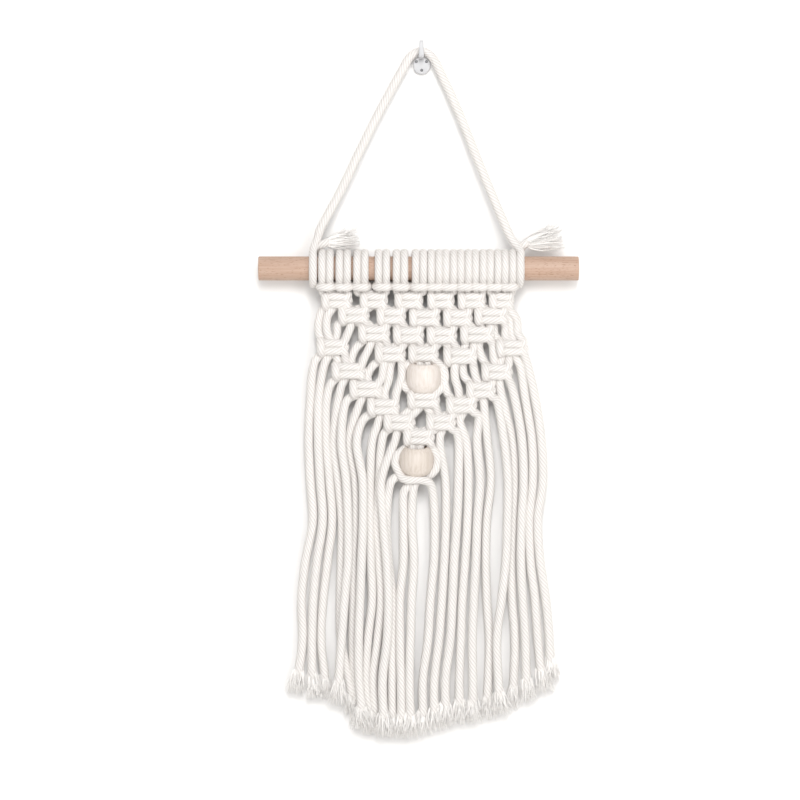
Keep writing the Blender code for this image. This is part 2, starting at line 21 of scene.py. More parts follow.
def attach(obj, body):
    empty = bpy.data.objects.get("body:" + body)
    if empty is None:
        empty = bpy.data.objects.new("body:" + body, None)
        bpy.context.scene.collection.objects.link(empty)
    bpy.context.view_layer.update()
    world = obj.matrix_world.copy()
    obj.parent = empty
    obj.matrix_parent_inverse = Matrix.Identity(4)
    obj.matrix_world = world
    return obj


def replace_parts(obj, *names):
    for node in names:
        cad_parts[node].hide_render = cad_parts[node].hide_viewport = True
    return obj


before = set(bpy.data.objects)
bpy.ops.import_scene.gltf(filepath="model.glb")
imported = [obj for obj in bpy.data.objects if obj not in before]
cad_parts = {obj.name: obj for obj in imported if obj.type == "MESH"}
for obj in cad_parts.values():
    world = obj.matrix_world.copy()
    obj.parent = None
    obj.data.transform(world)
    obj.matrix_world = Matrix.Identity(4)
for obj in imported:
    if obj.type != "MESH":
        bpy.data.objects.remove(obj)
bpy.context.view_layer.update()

MM = 0.001
BODY = "root"
LOG = logging.getLogger("wall_hanging")

Point = Sequence[float]
Levels = tuple[float, ...]

# The photograph's frame: how many millimetres one of its 800 pixels covers, and its middle.
FRAME_MM = 480.0
FRAME_MIDDLE = (-13.1, -201.6)

# The cord: its radius where it hangs, its plies, and the girth that its UV map is drawn to.
CORD_RADIUS = 2.75
PLIES = 8
GIRTH = 15.0

DOWEL_Y = -12.9
DOWEL_Z = -122.7
DOWEL_RADIUS = 7.2
NET_Y = -11.8

# Where the middle of each folded cord lies in the heading, along X.
HEAD_CENTRES = (-57.4, -47.0, -36.5, -23.6, -12.8, -1.4, 7.9, 16.7, 25.6, 34.4, 43.2, 52.0)

# Square knots: middle x, middle z, half width, first of the four cords.
KNOTS = (
    # First row, left to right.
    (-50.9, -142, 9.2, 1), (-28.7, -142, 8.1, 5), (-7.7, -142, 8.3, 9),
    (11.5, -142, 7.7, 13), (30.1, -142, 8.2, 17), (47.8, -142, 7, 21),
    # Second row.
    (-40.7, -150.8, 9.3, 3), (-18.2, -151.4, 8.6, 7), (1.8, -152.4, 9.3, 11),
    (21.7, -152.4, 8.7, 15), (41.8, -151.4, 10.6, 19),
    # Third row.
    (-28.5, -161.8, 9.6, 5), (-7.9, -162.8, 9.3, 9), (12.1, -163.2, 9, 13),
    (33.5, -162.4, 10.8, 17),
    # Fourth row, over the upper bead.
    (-18.8, -174, 9.3, 7), (1.1, -174.2, 9, 11), (23.2, -175.4, 10.5, 15),
    # Left side of the V, downwards.
    (-53.3, -170, 9.6, 1), (-43.7, -184.2, 10.5, 3), (-33.3, -195, 10.2, 5),
    # Right side of the V, downwards.
    (54.1, -170.4, 9.6, 21), (45.1, -184.8, 9.3, 19), (35.5, -195.8, 8.7, 17),
    # Under the upper bead.
    (1.1, -201.6, 9.9, 11),
    # The V's lower sides, left and right by turns.
    (-23, -205.8, 9.9, 7), (23.8, -204.8, 9.3, 15), (-13.4, -215.1, 9.6, 9),
    (11.5, -215.1, 8.7, 13),
    # The point of the V, over the lower bead.
    (-1.7, -224, 9.4, 11),
)

# Where a strand runs free between two knots far apart: (x, z) of points on the way down.
LEGS: dict[int, tuple[tuple[float, float], ...]] = {
    1: ((-58.9, -146.6), (-61.7, -153.6), (-61.7, -161.6)),
    2: ((-54.3, -147.6), (-56.9, -152.4), (-56.9, -160.6)),
    3: ((-50.4, -156.4), (-50.9, -161.8)),
    4: ((-43.1, -158.6), (-45.1, -163.6)),
    5: ((-39.5, -170.4), (-42.0, -176.2)),
    6: ((-31.1, -169.4), (-34.6, -176.6)),
    7: ((-29.7, -181.4), (-32.5, -187.4)),
    8: ((-22.6, -180.6), (-24.0, -188.2), (-26.0, -195.4)),
    9: ((-18.7, -180.6), (-19.8, -189.4), (-22.2, -197.2)),
    10: ((-12.0, -179.4), (-12.2, -188.4), (-15.2, -197.2), (-17.7, -203.6)),
    15: ((13.2, -181.4), (12.5, -186.8), (13.9, -192.6), (15.3, -197.4)),
    16: ((19.9, -181.4), (20.0, -188.6), (21.9, -195.4)),
    17: ((24.6, -181.4), (25.4, -187.4)),
    18: ((30.9, -180.8), (32.4, -187.8)),
    19: ((34.3, -169.6), (36.1, -176.4)),
    20: ((42.4, -168.0), (43.1, -175.6)),
    21: ((43.2, -157.8), (44.0, -163.4)),
    22: ((50.3, -157.4), (50.3, -163.4)),
    23: ((49.9, -147.8), (53.1, -154.6), (54.0, -162.0)),
    24: ((52.9, -147.4), (56.9, -153.4), (57.4, -161.6)),
}

# Fringe: where each strand leaves the net (x, z), the y that it hangs at, its x at the
# lowest of the levels, one step apart, and its tip (x, z).
LEVEL_TOP = -201.6
LEVEL_STEP = 24.0
LEVELS = 8
STRANDS: dict[int, tuple[float, float, float, Levels, float, float]] = {
    1: (-64, -178, -8, (-67, -68, -67, -65.5, -69.8, -72.2, -71.6, -72), -75.5, -378),
    2: (-58, -179.2, -9, (-62, -62.3, -61.1, -59.6, -63, -65.3, -66, -64.5), -66, -380),
    3: (-54.5, -191.8, -7, (-57.2, -57.6, -55.7, -54, -56.6, -59.3, -60.5, -58), -57, -381),
    4: (-48.5, -194.2, -6.2, (-52.4, -53, -50.4, -48.1, -48.5, -49, -48.5, -43.7), -40, -391),
    5: (-45, -202, -10.8, (-46.7, -48.3, -45.5, -44.3, -44.3, -46.4, -48.2, -50.6), -51, -384),
    6: (-37.7, -205, -6, (-43.9, -40.7, -40.1, -41.3, -41.3, -41.6, -40.4), -38.3, -396),
    7: (-34.7, -212.8, -10.6, (-39, -35.6, -35.3, -36.2, -37.1, -38, -37.7), -34.7, -399.5),
    8: (-26.3, -215.8, -7, (-29.7, -31.1, -31.1, -30.8, -30, -32.6, -33.8), -31, -401.5),
    9: (-22.7, -221.8, -5.8, (-24.2, -25.7, -26.9, -25.7, -24.5, -26.6, -29.3), -27, -402.5),
    10: (-15.5, -224.2, -10.6, (-17.2, -24.2, -23.3, -21.2, -20, -20.9, -23.6), -22.7, -404),
    11: (-19.5, -254.6, -6.6, (-21.2, -20, -17.6, -18, -18), -18, -404.5),
    12: (-10.7, -257, -8.2, (-11, -11, -13.1, -13.1, -12.5), -12, -404.5),
    13: (-5.3, -258, -9.2, (-6, -4.7, -6, -6.8, -7.4), -6.5, -404.5),
    14: (6.4, -256, -8.2, (7.6, 7.3, 5.2, 3.7, 0.7), 0.7, -403),
    15: (10.8, -224.2, -8.2, (11.2, 14.2, 14.5, 13.6, 12.1, 10.3, 7.6), 7.3, -401),
    16: (21.1, -221.8, -9.2, (21.4, 22, 21.1, 19.5, 18.4, 17, 14.2), 14.5, -398),
    17: (22.9, -214, -8.2, (26.5, 28, 27.4, 26.1, 24.4, 23.5, 22.6), 22.3, -396),
    18: (33.7, -211, -9.2, (33.1, 34.9, 33.4, 32.5, 31.3, 30.4, 30.7), 30.7, -395.5),
    19: (37.3, -205, -6.4, (39.4, 41.5, 39.1, 38.5, 39.1, 40.6, 41), 39.1, -393),
    20: (44.5, -201.4, -10.6, (49.3, 51.7, 51.4, 50.5, 47.8, 45.1, 46.3), 47, -390.5),
    21: (47, -194.8, -6, (48.7, 54.1, 55.6, 54.7, 53.8, 54.4, 56, 56.5), 54.7, -387),
    22: (53.5, -192.4, -9.2, (56, 60.1, 61.2, 60, 59.5, 60.7, 62.2, 63.7), 63.1, -383.5),
    23: (59, -181.6, -8.2, (62.2, 66.1, 66.7, 64.6, 65.2, 68, 69.7, 71), 72.7, -377),
    24: (63, -179.2, -8.4, (68.2, 71.8, 72.7, 69.7, 71, 74.5, 76.6, 76.3), 77.5, -370),
}
FRAY_LENGTH = 15.0
# The outer two middle strands swap sides in the tie under the lower bead.
SWAPPED = {11: 14, 14: 11}

# The beads' middles (x, z). They tip forward: how far the top of one leans out for each
# millimetre of height.
UPPER_BEAD = (1.1, -187.9)
LOWER_BEAD = (-3.3, -238.0)
BEAD_LEAN = 0.2

HANGER_ROUTE = (
    (-62.0, -14.0, -102.8),
    (-60.9, -13.9, -99.4),
    (-48.5, -12.0, -76.0),
    (-37.4, -10.4, -52.6),
    (-26.5, -8.8, -30.6),
    (-11.8, -6.8, -3.4),
    (-6.3, -6.2, 5.6),
    (0.0, -6.1, 8.5),
    (6.2, -6.2, 4.8),
    (11.5, -6.8, -5.0),
    (21.7, -8.4, -27.6),
    (35.5, -10.5, -62.2),
    (49.5, -13.0, -96.0),
    (52.6, -13.8, -102.8),
)

# Hitches: the x of the turn round the dowel, points of the tail, its tip, spread and seed.
HITCHES = {
    "left": (
        -65.1,
        ((-61.8, -13.2, -109.4), (-59.2, -15.2, -108.0), (-55.6, -15.6, -106.8)),
        (-38.3, -15.2, -104.4),
        4.4,
        7,
    ),
    "right": (
        58.9,
        ((60.2, -13.4, -109.8), (61.6, -15.2, -108.4), (63.8, -15.4, -107.2)),
        (83.6, -15.0, -103.0),
        6.0,
        8,
    ),
}

# The turn from one wisp of a frayed end to the next, in radians: the golden angle.
GOLDEN_ANGLE = 2.39996


# ---------------------------------------------------------------- small tools


def linear(hex_colour: str) -> tuple[float, float, float, float]:
    """Turns an sRGB hex colour into linear RGBA.

    Args:
        hex_colour: The colour as #RRGGBB.

    Returns:
        Linear red, green and blue, and an alpha of 1.
    """
    shares = [int(hex_colour[i : i + 2], 16) / 255 for i in (1, 3, 5)]
    curve = [s / 12.92 if s <= 0.04045 else ((s + 0.055) / 1.055) ** 2.4 for s in shares]
    return (curve[0], curve[1], curve[2], 1.0)


def new_material(name: str) -> tuple[bpy.types.Material, Any]:
    """Makes a material with nodes.

    Args:
        name: The material's name.

    Returns:
        The material and its Principled shader node.
    """
    material = bpy.data.materials.new(name)
    material.use_nodes = True
    return material, material.node_tree.nodes["Principled BSDF"]


def set_inputs(material: bpy.types.Material, node: Any, inputs: dict[Any, Any]) -> None:
    """Links or sets the inputs of a shader node.

    Args:
        material: The material that the node is in.
        node: The node.
        inputs: Input name or number to an output socket to link, or a constant to set.
    """
    for name, value in inputs.items():
        if isinstance(value, bpy.types.NodeSocket):
            material.node_tree.links.new(value, node.inputs[name])
        else:
            node.inputs[name].default_value = value


def add_node(
    material: bpy.types.Material,
    kind: str,
    inputs: dict[Any, Any],
    stops: Sequence[tuple[float, str]] = (),
    out: int | str = 0,
    **settings: Any,
) -> Any:
    """Adds a shader node with its settings, constants and incoming links.

    Args:
        material: The material whose tree gets the node.
        kind: The node's type name without its ShaderNode, such as TexNoise.
        inputs: Input name or number to an output socket to link, or a constant to set.
        stops: Position and hex colour of each of a colour ramp's two stops.
        out: Name or number of the output that is wanted.
        **settings: Attributes of the node.

    Returns:
        That output of the new node.
    """
    node = material.node_tree.nodes.new("ShaderNode" + kind)
    for name, value in settings.items():
        setattr(node, name, value)
    set_inputs(material, node, inputs)
    for number, (position, colour) in enumerate(stops):
        node.color_ramp.elements[number].position = position
        node.color_ramp.elements[number].color = linear(colour)
    return node.outputs[out]


def add_piece(
    name: str, mesh: bpy.types.Mesh, slot: str, *materials: bpy.types.Material
) -> bpy.types.Object:
    """Links a finished mesh as a piece that rides on the hanging's one body.

    Args:
        name: The piece's name.
        mesh: Its mesh, already in its place.
        slot: Not used.
        *materials: Its materials, in slot order.

    Returns:
        The new object.
    """
    mesh.name = name
    for material in materials:
        mesh.materials.append(material)
    piece = bpy.data.objects.new(name, mesh)
    bpy.context.scene.collection.objects.link(piece)
    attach(piece, BODY)
    LOG.info("%s: %d faces", name, len(mesh.polygons))
    return piece


def finish_mesh(name: str, bm: bmesh.types.BMesh, sharp_degrees: float = 35.0) -> bpy.types.Mesh:
    """Makes a smooth-shaded mesh from a bmesh in millimetres, with its faces pointing out.

    Args:
        name: The mesh's name.
        bm: The closed shape, which is freed.
        sharp_degrees: Edges bent by more than this stay sharp.

    Returns:
        The mesh, in metres.
    """
    bmesh.ops.remove_doubles(bm, verts=bm.verts, dist=1e-4)
    bmesh.ops.recalc_face_normals(bm, faces=bm.faces)
    bmesh.ops.scale(bm, vec=(MM, MM, MM), verts=bm.verts)
    mesh = bpy.data.meshes.new(name)
    bm.to_mesh(mesh)
    bm.free()
    mesh.shade_smooth()
    mesh.set_sharp_from_angle(angle=math.radians(sharp_degrees))
    return mesh


def bevel_edges(
    bm: bmesh.types.BMesh, edges: list[bmesh.types.BMEdge], offset: float, segments: int
) -> None:
    """Rounds edges.

    Args:
        bm: The shape.
        edges: Its edges to round.
        offset: How far back from each edge the rounding starts.
        segments: The number of facets across it.
    """
    bmesh.ops.bevel(
        bm,
        geom=edges,
        offset=offset,
        affect="EDGES",
        segments=segments,
        profile=0.5,
        material=-1,
    )


def mesh_from_curve(curve: bpy.types.Curve) -> bpy.types.Mesh:
    """Turns a curve's surface into a mesh and takes the curve away.

    Args:
        curve: The curve, with its bevel set.

    Returns:
        The mesh, in the curve's own frame.
    """
    holder = bpy.data.objects.new(curve.name, curve)
    bpy.context.scene.collection.objects.link(holder)
    bpy.context.view_layer.update()
    graph = bpy.context.evaluated_depsgraph_get()
    mesh = bpy.data.meshes.new_from_object(holder.evaluated_get(graph))
    bpy.data.objects.remove(holder)
    bpy.data.curves.remove(curve)
    return mesh


def places_along(line: np.ndarray) -> np.ndarray:
    """Each point's distance along a line of points from the first.

    Args:
        line: The points, a row each.

    Returns:
        The distances, in the line's own unit.
    """
    return np.concatenate([[0.0], np.cumsum(np.linalg.norm(np.diff(line, axis=0), axis=1))])


def smooth_route(points: Sequence[Point], step: float) -> np.ndarray:
    """Reads even points from a centripetal Catmull-Rom curve.

    Args:
        points: The points that the curve passes through, in millimetres.
        step: The distance between the points that are read.

    Returns:
        An array of points, a row each.
    """
    knots = np.array(points, float)
    knots = np.vstack([2 * knots[0] - knots[1], knots, 2 * knots[-1] - knots[-2]])
    gaps = np.sqrt(np.linalg.norm(np.diff(knots, axis=0), axis=1)) + 1e-6
    times = np.concatenate([[0.0], np.cumsum(gaps)])
    dense = []
    for i in range(1, len(knots) - 2):
        t = np.linspace(times[i], times[i + 1], 16, endpoint=False)[:, None]
        t0, t1, t2, t3 = times[i - 1 : i + 3]
        p0, p1, p2, p3 = knots[i - 1 : i + 3]
        a = ((t1 - t) * p0 + (t - t0) * p1) / (t1 - t0)
        b = ((t2 - t) * p1 + (t - t1) * p2) / (t2 - t1)
        c = ((t3 - t) * p2 + (t - t2) * p3) / (t3 - t2)
        d = ((t2 - t) * a + (t - t0) * b) / (t2 - t0)
        e = ((t3 - t) * b + (t - t1) * c) / (t3 - t1)
        dense.append(((t2 - t) * d + (t - t1) * e) / (t2 - t1))
    line = np.vstack([*dense, knots[-2][None]])
    along = places_along(line)
    marks = np.linspace(0.0, along[-1], max(3, round(along[-1] / step) + 1))
    return np.stack([np.interp(marks, along, line[:, axis]) for axis in range(3)], axis=1)


# ---------------------------------------------------------------- finishes


@dataclass(frozen=True)
class CottonCord:
    """Undyed cotton, spun into yarns and laid eight-ply: matt, off-white, ribbed along the lay."""

    name: str = "undyed_cotton_cord"
    crown: str = "#F0EDEA"
    # Painted shade: the darker colour that is painted into the grooves between the plies.
    groove_shade: str = "#DFDAD6"
    plies: int = PLIES
    yarns_per_ply: int = 2
    fibre_mm: float = 0.22
    girth_mm: float = GIRTH

    def make(self) -> bpy.types.Material:
        """Builds the material.

        Returns:
            The material, for a UV map that runs round the cord and along it, in millimetres.
        """
        material, shader = new_material(self.name)
        uv = add_node(material, "UVMap", {}, uv_map="UVMap")
        around = add_node(material, "SeparateXYZ", {0: uv})
        per_ply = math.tau * self.plies / self.girth_mm
        # Yarns lie side by side along the lay, so each is a ridge at one place round the cord.
        per_yarn = per_ply * self.yarns_per_ply
        turn = add_node(material, "Math", {0: around, 1: per_yarn}, operation="MULTIPLY")
        wander = add_node(material, "TexNoise", {"Vector": uv, "Scale": 0.22, "Detail": 1.0})
        phase = add_node(material, "Math", {0: wander, 1: 2.4, 2: turn}, operation="MULTIPLY_ADD")
        ridge = add_node(material, "Math", {0: phase}, operation="SINE")
        # Fibres are long along the lay and fine across it.
        fineness = (1.0 / self.fibre_mm, 0.12 / self.fibre_mm, 1.0)
        drawn = add_node(material, "Mapping", {0: uv, "Scale": fineness})
        fibre = add_node(
            material, "TexNoise", {"Vector": drawn, "Scale": 1.0, "Detail": 3.0, "Roughness": 0.6}
        )
        relief = add_node(material, "Math", {0: ridge, 1: 0.4, 2: fibre}, operation="MULTIPLY_ADD")
        bump = {"Height": relief, "Strength": 0.6, "Distance": 0.45 * MM}
        # Painted shade: the colour darkens a little in the grooves between the plies, where shade
        # falls.
        ply = add_node(material, "Math", {0: around, 1: per_ply}, operation="MULTIPLY")
        depth = add_node(material, "Math", {0: ply}, operation="COSINE")
        shade = add_node(material, "Math", {0: fibre, 1: 0.9, 2: depth}, operation="MULTIPLY_ADD")
        stops = ((0.3, self.crown), (1.0, self.groove_shade))
        inputs = {
            "Base Color": add_node(material, "ValToRGB", {0: shade}, stops),
            "Normal": add_node(material, "Bump", bump),
            "Roughness": 0.92,
            "Specular IOR Level": 0.25,
            "Sheen Weight": 0.35,
            "Sheen Roughness": 0.5,
            "Sheen Tint": linear("#FFF9F2"),
        }
        set_inputs(material, shader, inputs)
        return material


@dataclass(frozen=True)
class StreakedFinish:
    """A matt natural surface with fine streaks in one direction."""

    name: str
    light: str
    dark: str
    per_metre: tuple[float, float, float]
    light_from: float
    distortion: float
    detail: float
    relief: float
    depth_mm: float
    gloss: tuple[tuple[str, float], ...]

    def make(self) -> bpy.types.Material:
        """Builds the material.

        Returns:
            The material.
        """
        material, shader = new_material(self.name)
        place = add_node(material, "TexCoord", {}, out="Object")
        noise = {
            "Vector": add_node(material, "Mapping", {0: place, "Scale": self.per_metre}),
            "Scale": 1.0,
            "Detail": self.detail,
            "Distortion": self.distortion,
        }
        streaks = add_node(material, "TexNoise", noise)
        stops = ((0.35, self.dark), (self.light_from, self.light))
        relief = {"Height": streaks, "Strength": self.relief, "Distance": self.depth_mm * MM}
        inputs = {
            "Base Color": add_node(material, "ValToRGB", {0: streaks}, stops),
            "Normal": add_node(material, "Bump", relief),
            **dict(self.gloss),
        }
        set_inputs(material, shader, inputs)
        return material


# Loose cotton fibres at a frayed end, thin and soft, painted brighter than the cord: painted light.
LOOSE_COTTON_PAINTED_BRIGHT = StreakedFinish(
    name="loose_cotton_fibre_painted_bright",
    light="#F8F6F4",
    dark="#EBE7E3",
    per_metre=(2200.0, 2200.0, 220.0),
    light_from=0.6,
    distortion=0.3,
    detail=2.0,
    relief=0.35,
    depth_mm=0.3,
    gloss=(("Roughness", 0.95), ("Specular IOR Level", 0.2), ("Sheen Weight", 0.3)),
)

# Bare turned maple: pale creamy wood, faint upright grain and a soft turned sheen.
PALE_MAPLE = StreakedFinish(
    name="turned_maple_pale",
    light="#E2DAD4",
    dark="#D9CFC6",
    per_metre=(900.0, 900.0, 60.0),
    light_from=0.62,
    distortion=0.4,
    detail=4.0,
    relief=0.12,
    depth_mm=0.08,
    gloss=(("Roughness", 0.5),),
)

# The lower bead's maple, a shade deeper.
DEEP_MAPLE = replace(PALE_MAPLE, name="turned_maple_deep", light="#D8CEC5", dark="#CCC0B4")


@dataclass(frozen=True)
class SandedBeech:
    """Beech rod, sanded and bare: pinkish tan, straight fine grain with short dark flecks."""

    name: str = "sanded_beech"
    light: str = "#C0A492"
    dark: str = "#B2927D"
    fleck: str = "#9C7B62"
    grain_mm: float = 0.5

    def make(self) -> bpy.types.Material:
        """Builds the material.

        Returns:
            The material, with its grain along X.
        """
        material, shader = new_material(self.name)
        place = add_node(material, "TexCoord", {}, out="Object")
        fine = 1.0 / (self.grain_mm * MM)
        drawn = add_node(material, "Mapping", {0: place, "Scale": (fine * 0.02, fine, fine)})
        grain = add_node(
            material, "TexNoise", {"Vector": drawn, "Scale": 1.0, "Detail": 4.0, "Roughness": 0.62}
        )
        broad = add_node(material, "Mapping", {0: place, "Scale": (9.0, 190.0, 190.0)})
        bands = add_node(
            material, "TexNoise", {"Vector": broad, "Scale": 1.0, "Detail": 2.0, "Distortion": 0.6}
        )
        mixed = add_node(material, "Math", {0: bands, 1: 0.8, 2: grain}, operation="MULTIPLY_ADD")
        tones = add_node(material, "ValToRGB", {0: mixed}, ((0.62, self.dark), (1.0, self.light)))
        # Rays show as dark flecks about 2 mm long and a quarter of a millimetre wide.
        cells = add_node(material, "Mapping", {0: place, "Scale": (420.0, 2600.0, 2600.0)})
        flecks = add_node(material, "TexNoise", {"Vector": cells, "Scale": 1.0, "Detail": 0.0})
        mask = add_node(material, "ValToRGB", {0: flecks}, ((0.68, "#000000"), (0.76, "#FFFFFF")))
        colours = {0: mask, 6: tones, 7: linear(self.fleck)}
        relief = {"Height": grain, "Strength": 0.25, "Distance": 0.12 * MM}
        inputs = {
            "Base Color": add_node(material, "Mix", colours, out=2, data_type="RGBA"),
            "Normal": add_node(material, "Bump", relief),
            "Roughness": 0.58,
        }
        set_inputs(material, shader, inputs)
        return material


@dataclass(frozen=True)
class PlainFinish:
    """A plain moulded, metal or painted surface with a faint unevenness."""

    name: str
    colour: str
    roughness: float
    metallic: float = 0.0
    speck_mm: float = 0.6
    depth_mm: float = 0.01

    def make(self) -> bpy.types.Material:
        """Builds the material.

        Returns:
            The material.
        """
        material, shader = new_material(self.name)
        place = add_node(material, "TexCoord", {}, out="Object")
        per_speck = 1.0 / (self.speck_mm * MM)
        speck = add_node(material, "TexNoise", {"Vector": place, "Scale": per_speck, "Detail": 2.0})
        relief = {"Height": speck, "Strength": 0.3, "Distance": self.depth_mm * MM}
        rough = {0: speck, 3: self.roughness - 0.05, 4: self.roughness + 0.05}
        inputs = {
            "Normal": add_node(material, "Bump", relief),
            "Roughness": add_node(material, "MapRange", rough),
            "Base Color": linear(self.colour),
            "Metallic": self.metallic,
        }
        set_inputs(material, shader, inputs)
        return material


# ---------------------------------------------------------------- laid cord


@dataclass
class Run:
    """One length of laid cord: its middle line in millimetres and its radius at each point."""

    line: np.ndarray
    radius: np.ndarray

    def length(self) -> float:
        """Length of the middle line in millimetres."""
        return float(np.linalg.norm(np.diff(self.line, axis=0), axis=1).sum())


@dataclass
class LaidCord:
    """Eight plies laid up, made as an eight-lobed section turned along a route."""

    lay: float = 22.0
    plies: int = PLIES
    points_per_ply: int = 3
    bulge: float = 1.4
    step: float = 0.9
    girth: float = GIRTH
    section: bpy.types.Object = field(init=False)

    def __post_init__(self) -> None:
        """Draws the lobed section, one millimetre in radius, starting in the hollow between two
        plies.
        """
        curve = bpy.data.curves.new("ply_section", "CURVE")
        curve.dimensions = "2D"
        spline = curve.splines.new("POLY")
        count = self.plies * self.points_per_ply
        spline.points.add(count - 1)
        spline.use_cyclic_u = True
        crown = 1.0 / (1.0 + self.bulge)
        inner = self.bulge * crown
        for number, point in enumerate(spline.points):
            turn = math.tau * number / count
            off = turn % (math.tau / self.plies) - math.pi / self.plies
            reach = inner * math.cos(off) + math.sqrt(crown**2 - (inner * math.sin(off)) ** 2)
            point.co = (reach * math.cos(turn) * MM, reach * math.sin(turn) * MM, 0.0, 1.0)
        self.section = bpy.data.objects.new("ply_section", curve)
        bpy.context.scene.collection.objects.link(self.section)

    def tube(self, run: Run) -> bmesh.types.BMesh:
        """Lays one run of cord.

        Args:
            run: The route and radii.

        Returns:
            The tube in metres, open at its ends. Its UV map is (round, along) in millimetres.
        """
        curve = bpy.data.curves.new("laid_cord", "CURVE")
        curve.dimensions = "3D"
        curve.bevel_mode = "OBJECT"
        curve.bevel_object = self.section
        spline = curve.splines.new("POLY")
        spline.points.add(len(run.line) - 1)
        along = places_along(run.line)
        for point, place, radius, mark in zip(spline.points, run.line, run.radius, along):
            point.co = (*(place * MM), 1.0)
            point.radius = radius
            point.tilt = -math.tau * (mark - along[-1] / 2) / self.lay
        mesh = mesh_from_curve(curve)
        # Blender's own map runs from 0 to 1, along first.
        uv = np.empty(len(mesh.loops) * 2, np.float32)
        mesh.uv_layers[0].data.foreach_get("uv", uv)
        shares = uv.reshape(-1, 2).astype(float)
        marks = np.interp(shares[:, 0], np.linspace(0.0, 1.0, len(along)), along)
        uv = np.stack([shares[:, 1] * self.girth, marks], axis=1).astype(np.float32).ravel()
        mesh.uv_layers[0].data.foreach_set("uv", uv)
        bm = bmesh.new()
        bm.from_mesh(mesh)
        bpy.data.meshes.remove(mesh)
        bmesh.ops.remove_doubles(bm, verts=bm.verts, dist=1e-6)
        return bm

    def stretch(self, bm: bmesh.types.BMesh, low: float, high: float) -> bmesh.types.BMesh:
        """Cuts out the part of a tube between two places along it.

        Args:
            bm: The whole tube, which is kept.
            low: Where the part starts, in millimetres along the tube.
            high: Where it ends.

        Returns:
            The part as a tube of its own, open at its ends.
        """
        part = bm.copy()
        layer = part.loops.layers.uv.active
        outside = []
        for face in part.faces:
            marks = [loop[layer].uv.y for loop in face.loops]
            if not low <= sum(marks) / len(marks) < high:
                outside.append(face)
        bmesh.ops.delete(part, geom=outside, context="FACES")
        return part

    def to_mesh(self, name: str, parts: Iterable[bmesh.types.BMesh]) -> bpy.types.Mesh:
        """Closes the ends of tubes and joins them into one mesh with smooth sides.

        Args:
            name: The mesh's name.
            parts: The tubes, which are freed.

        Returns:
            The mesh.
        """
        whole = bmesh.new()
        for part in parts:
            rims = [edge for edge in part.edges if edge.is_boundary]
            bmesh.ops.holes_fill(part, edges=rims, sides=0)
            bmesh.ops.recalc_face_normals(part, faces=part.faces)
            each = bpy.data.meshes.new("part")
            part.to_mesh(each)
            part.free()
            whole.from_mesh(each)
            bpy.data.meshes.remove(each)
        mesh = bpy.data.meshes.new(name)
        whole.to_mesh(mesh)
        whole.free()
        mesh.shade_smooth()
        mesh.set_sharp_from_angle(angle=math.radians(70))
        return mesh

    def remove_section(self) -> None:
        """Takes the section curve away once every cord is laid."""
        bpy.data.objects.remove(self.section)


@dataclass
class FrayedEnd:
    """The unlaid end of a cord: tapering wisps that fan out, with loose fibres among them."""

    start: Vector
    heading: Vector
    cord_radius: float
    length: float
    spread: float
    seed: int
    wisps: int = 40
    wisp_radius: float = 0.64
    fibres: int = 80
    fibre_radius: float = 0.14

    def mesh(self, name: str) -> bpy.types.Mesh:
        """Grows the wisps and fibres.

        Args:
            name: The mesh's name.

        Returns:
            One mesh of closed thin tubes, in metres.
        """
        dice = random.Random(self.seed)
        ahead = self.heading.normalized()
        side = ahead.cross(Vector((0.0, -1.0, 0.0))).normalized()
        front = side.cross(ahead).normalized()
        curve = bpy.data.curves.new(name, "CURVE")
        curve.dimensions = "3D"
        curve.bevel_depth = self.fibre_radius * MM
        curve.bevel_resolution = 0
        curve.use_fill_caps = True
        for count in range(self.wisps + self.fibres):
            thick = count < self.wisps
            if thick:
                # Wisps start evenly over the cord's end, inside it.
                turn = count * GOLDEN_ANGLE
                out = math.sqrt((count + 0.5) / self.wisps)
                inset = 0.66
            else:
                turn = dice.uniform(0.0, math.tau)
                out = math.sqrt(dice.uniform(0.3, 1.0))
                inset = 0.84
            across = side * math.cos(turn) + front * (math.sin(turn) * 0.62)
            root = self.start + across * (out * self.cord_radius * inset)
            reach = self.length * dice.uniform(0.66, 1.06)
            fan = self.spread * out * dice.uniform(0.4, 1.3)
            curl = side * dice.gauss(0.0, 0.8) + front * dice.gauss(0.0, 0.4)
            spline = curve.splines.new("POLY")
            spline.points.add(4)
            for number, point in enumerate(spline.points):
                share = number / 4
                bent = across * ((fan + 0.6 * out) * share**1.25)
                bent += curl * math.sin(share * math.pi * 1.4)
                point.co = (*((root + ahead * (reach * share) + bent) * MM), 1.0)
                if thick:
                    point.radius = self.wisp_radius / self.fibre_radius * (1.0 - 0.72 * share)
                else:
                    point.radius = 1.0 - 0.45 * share
        mesh = mesh_from_curve(curve)
        bm = bmesh.new()
        bm.from_mesh(mesh)
        bmesh.ops.remove_doubles(bm, verts=bm.verts, dist=1e-7)
        bmesh.ops.recalc_face_normals(bm, faces=bm.faces)
        bm.to_mesh(mesh)
        bm.free()
        mesh.shade_smooth()
        return mesh


# ---------------------------------------------------------------- knots


class Role(Enum):
    """What a cord does in a square knot: the outer two tie, and the inner two are tied round."""

    LEFT = 0
    FILL_LEFT = 1
    FILL_RIGHT = 2
    RIGHT = 3


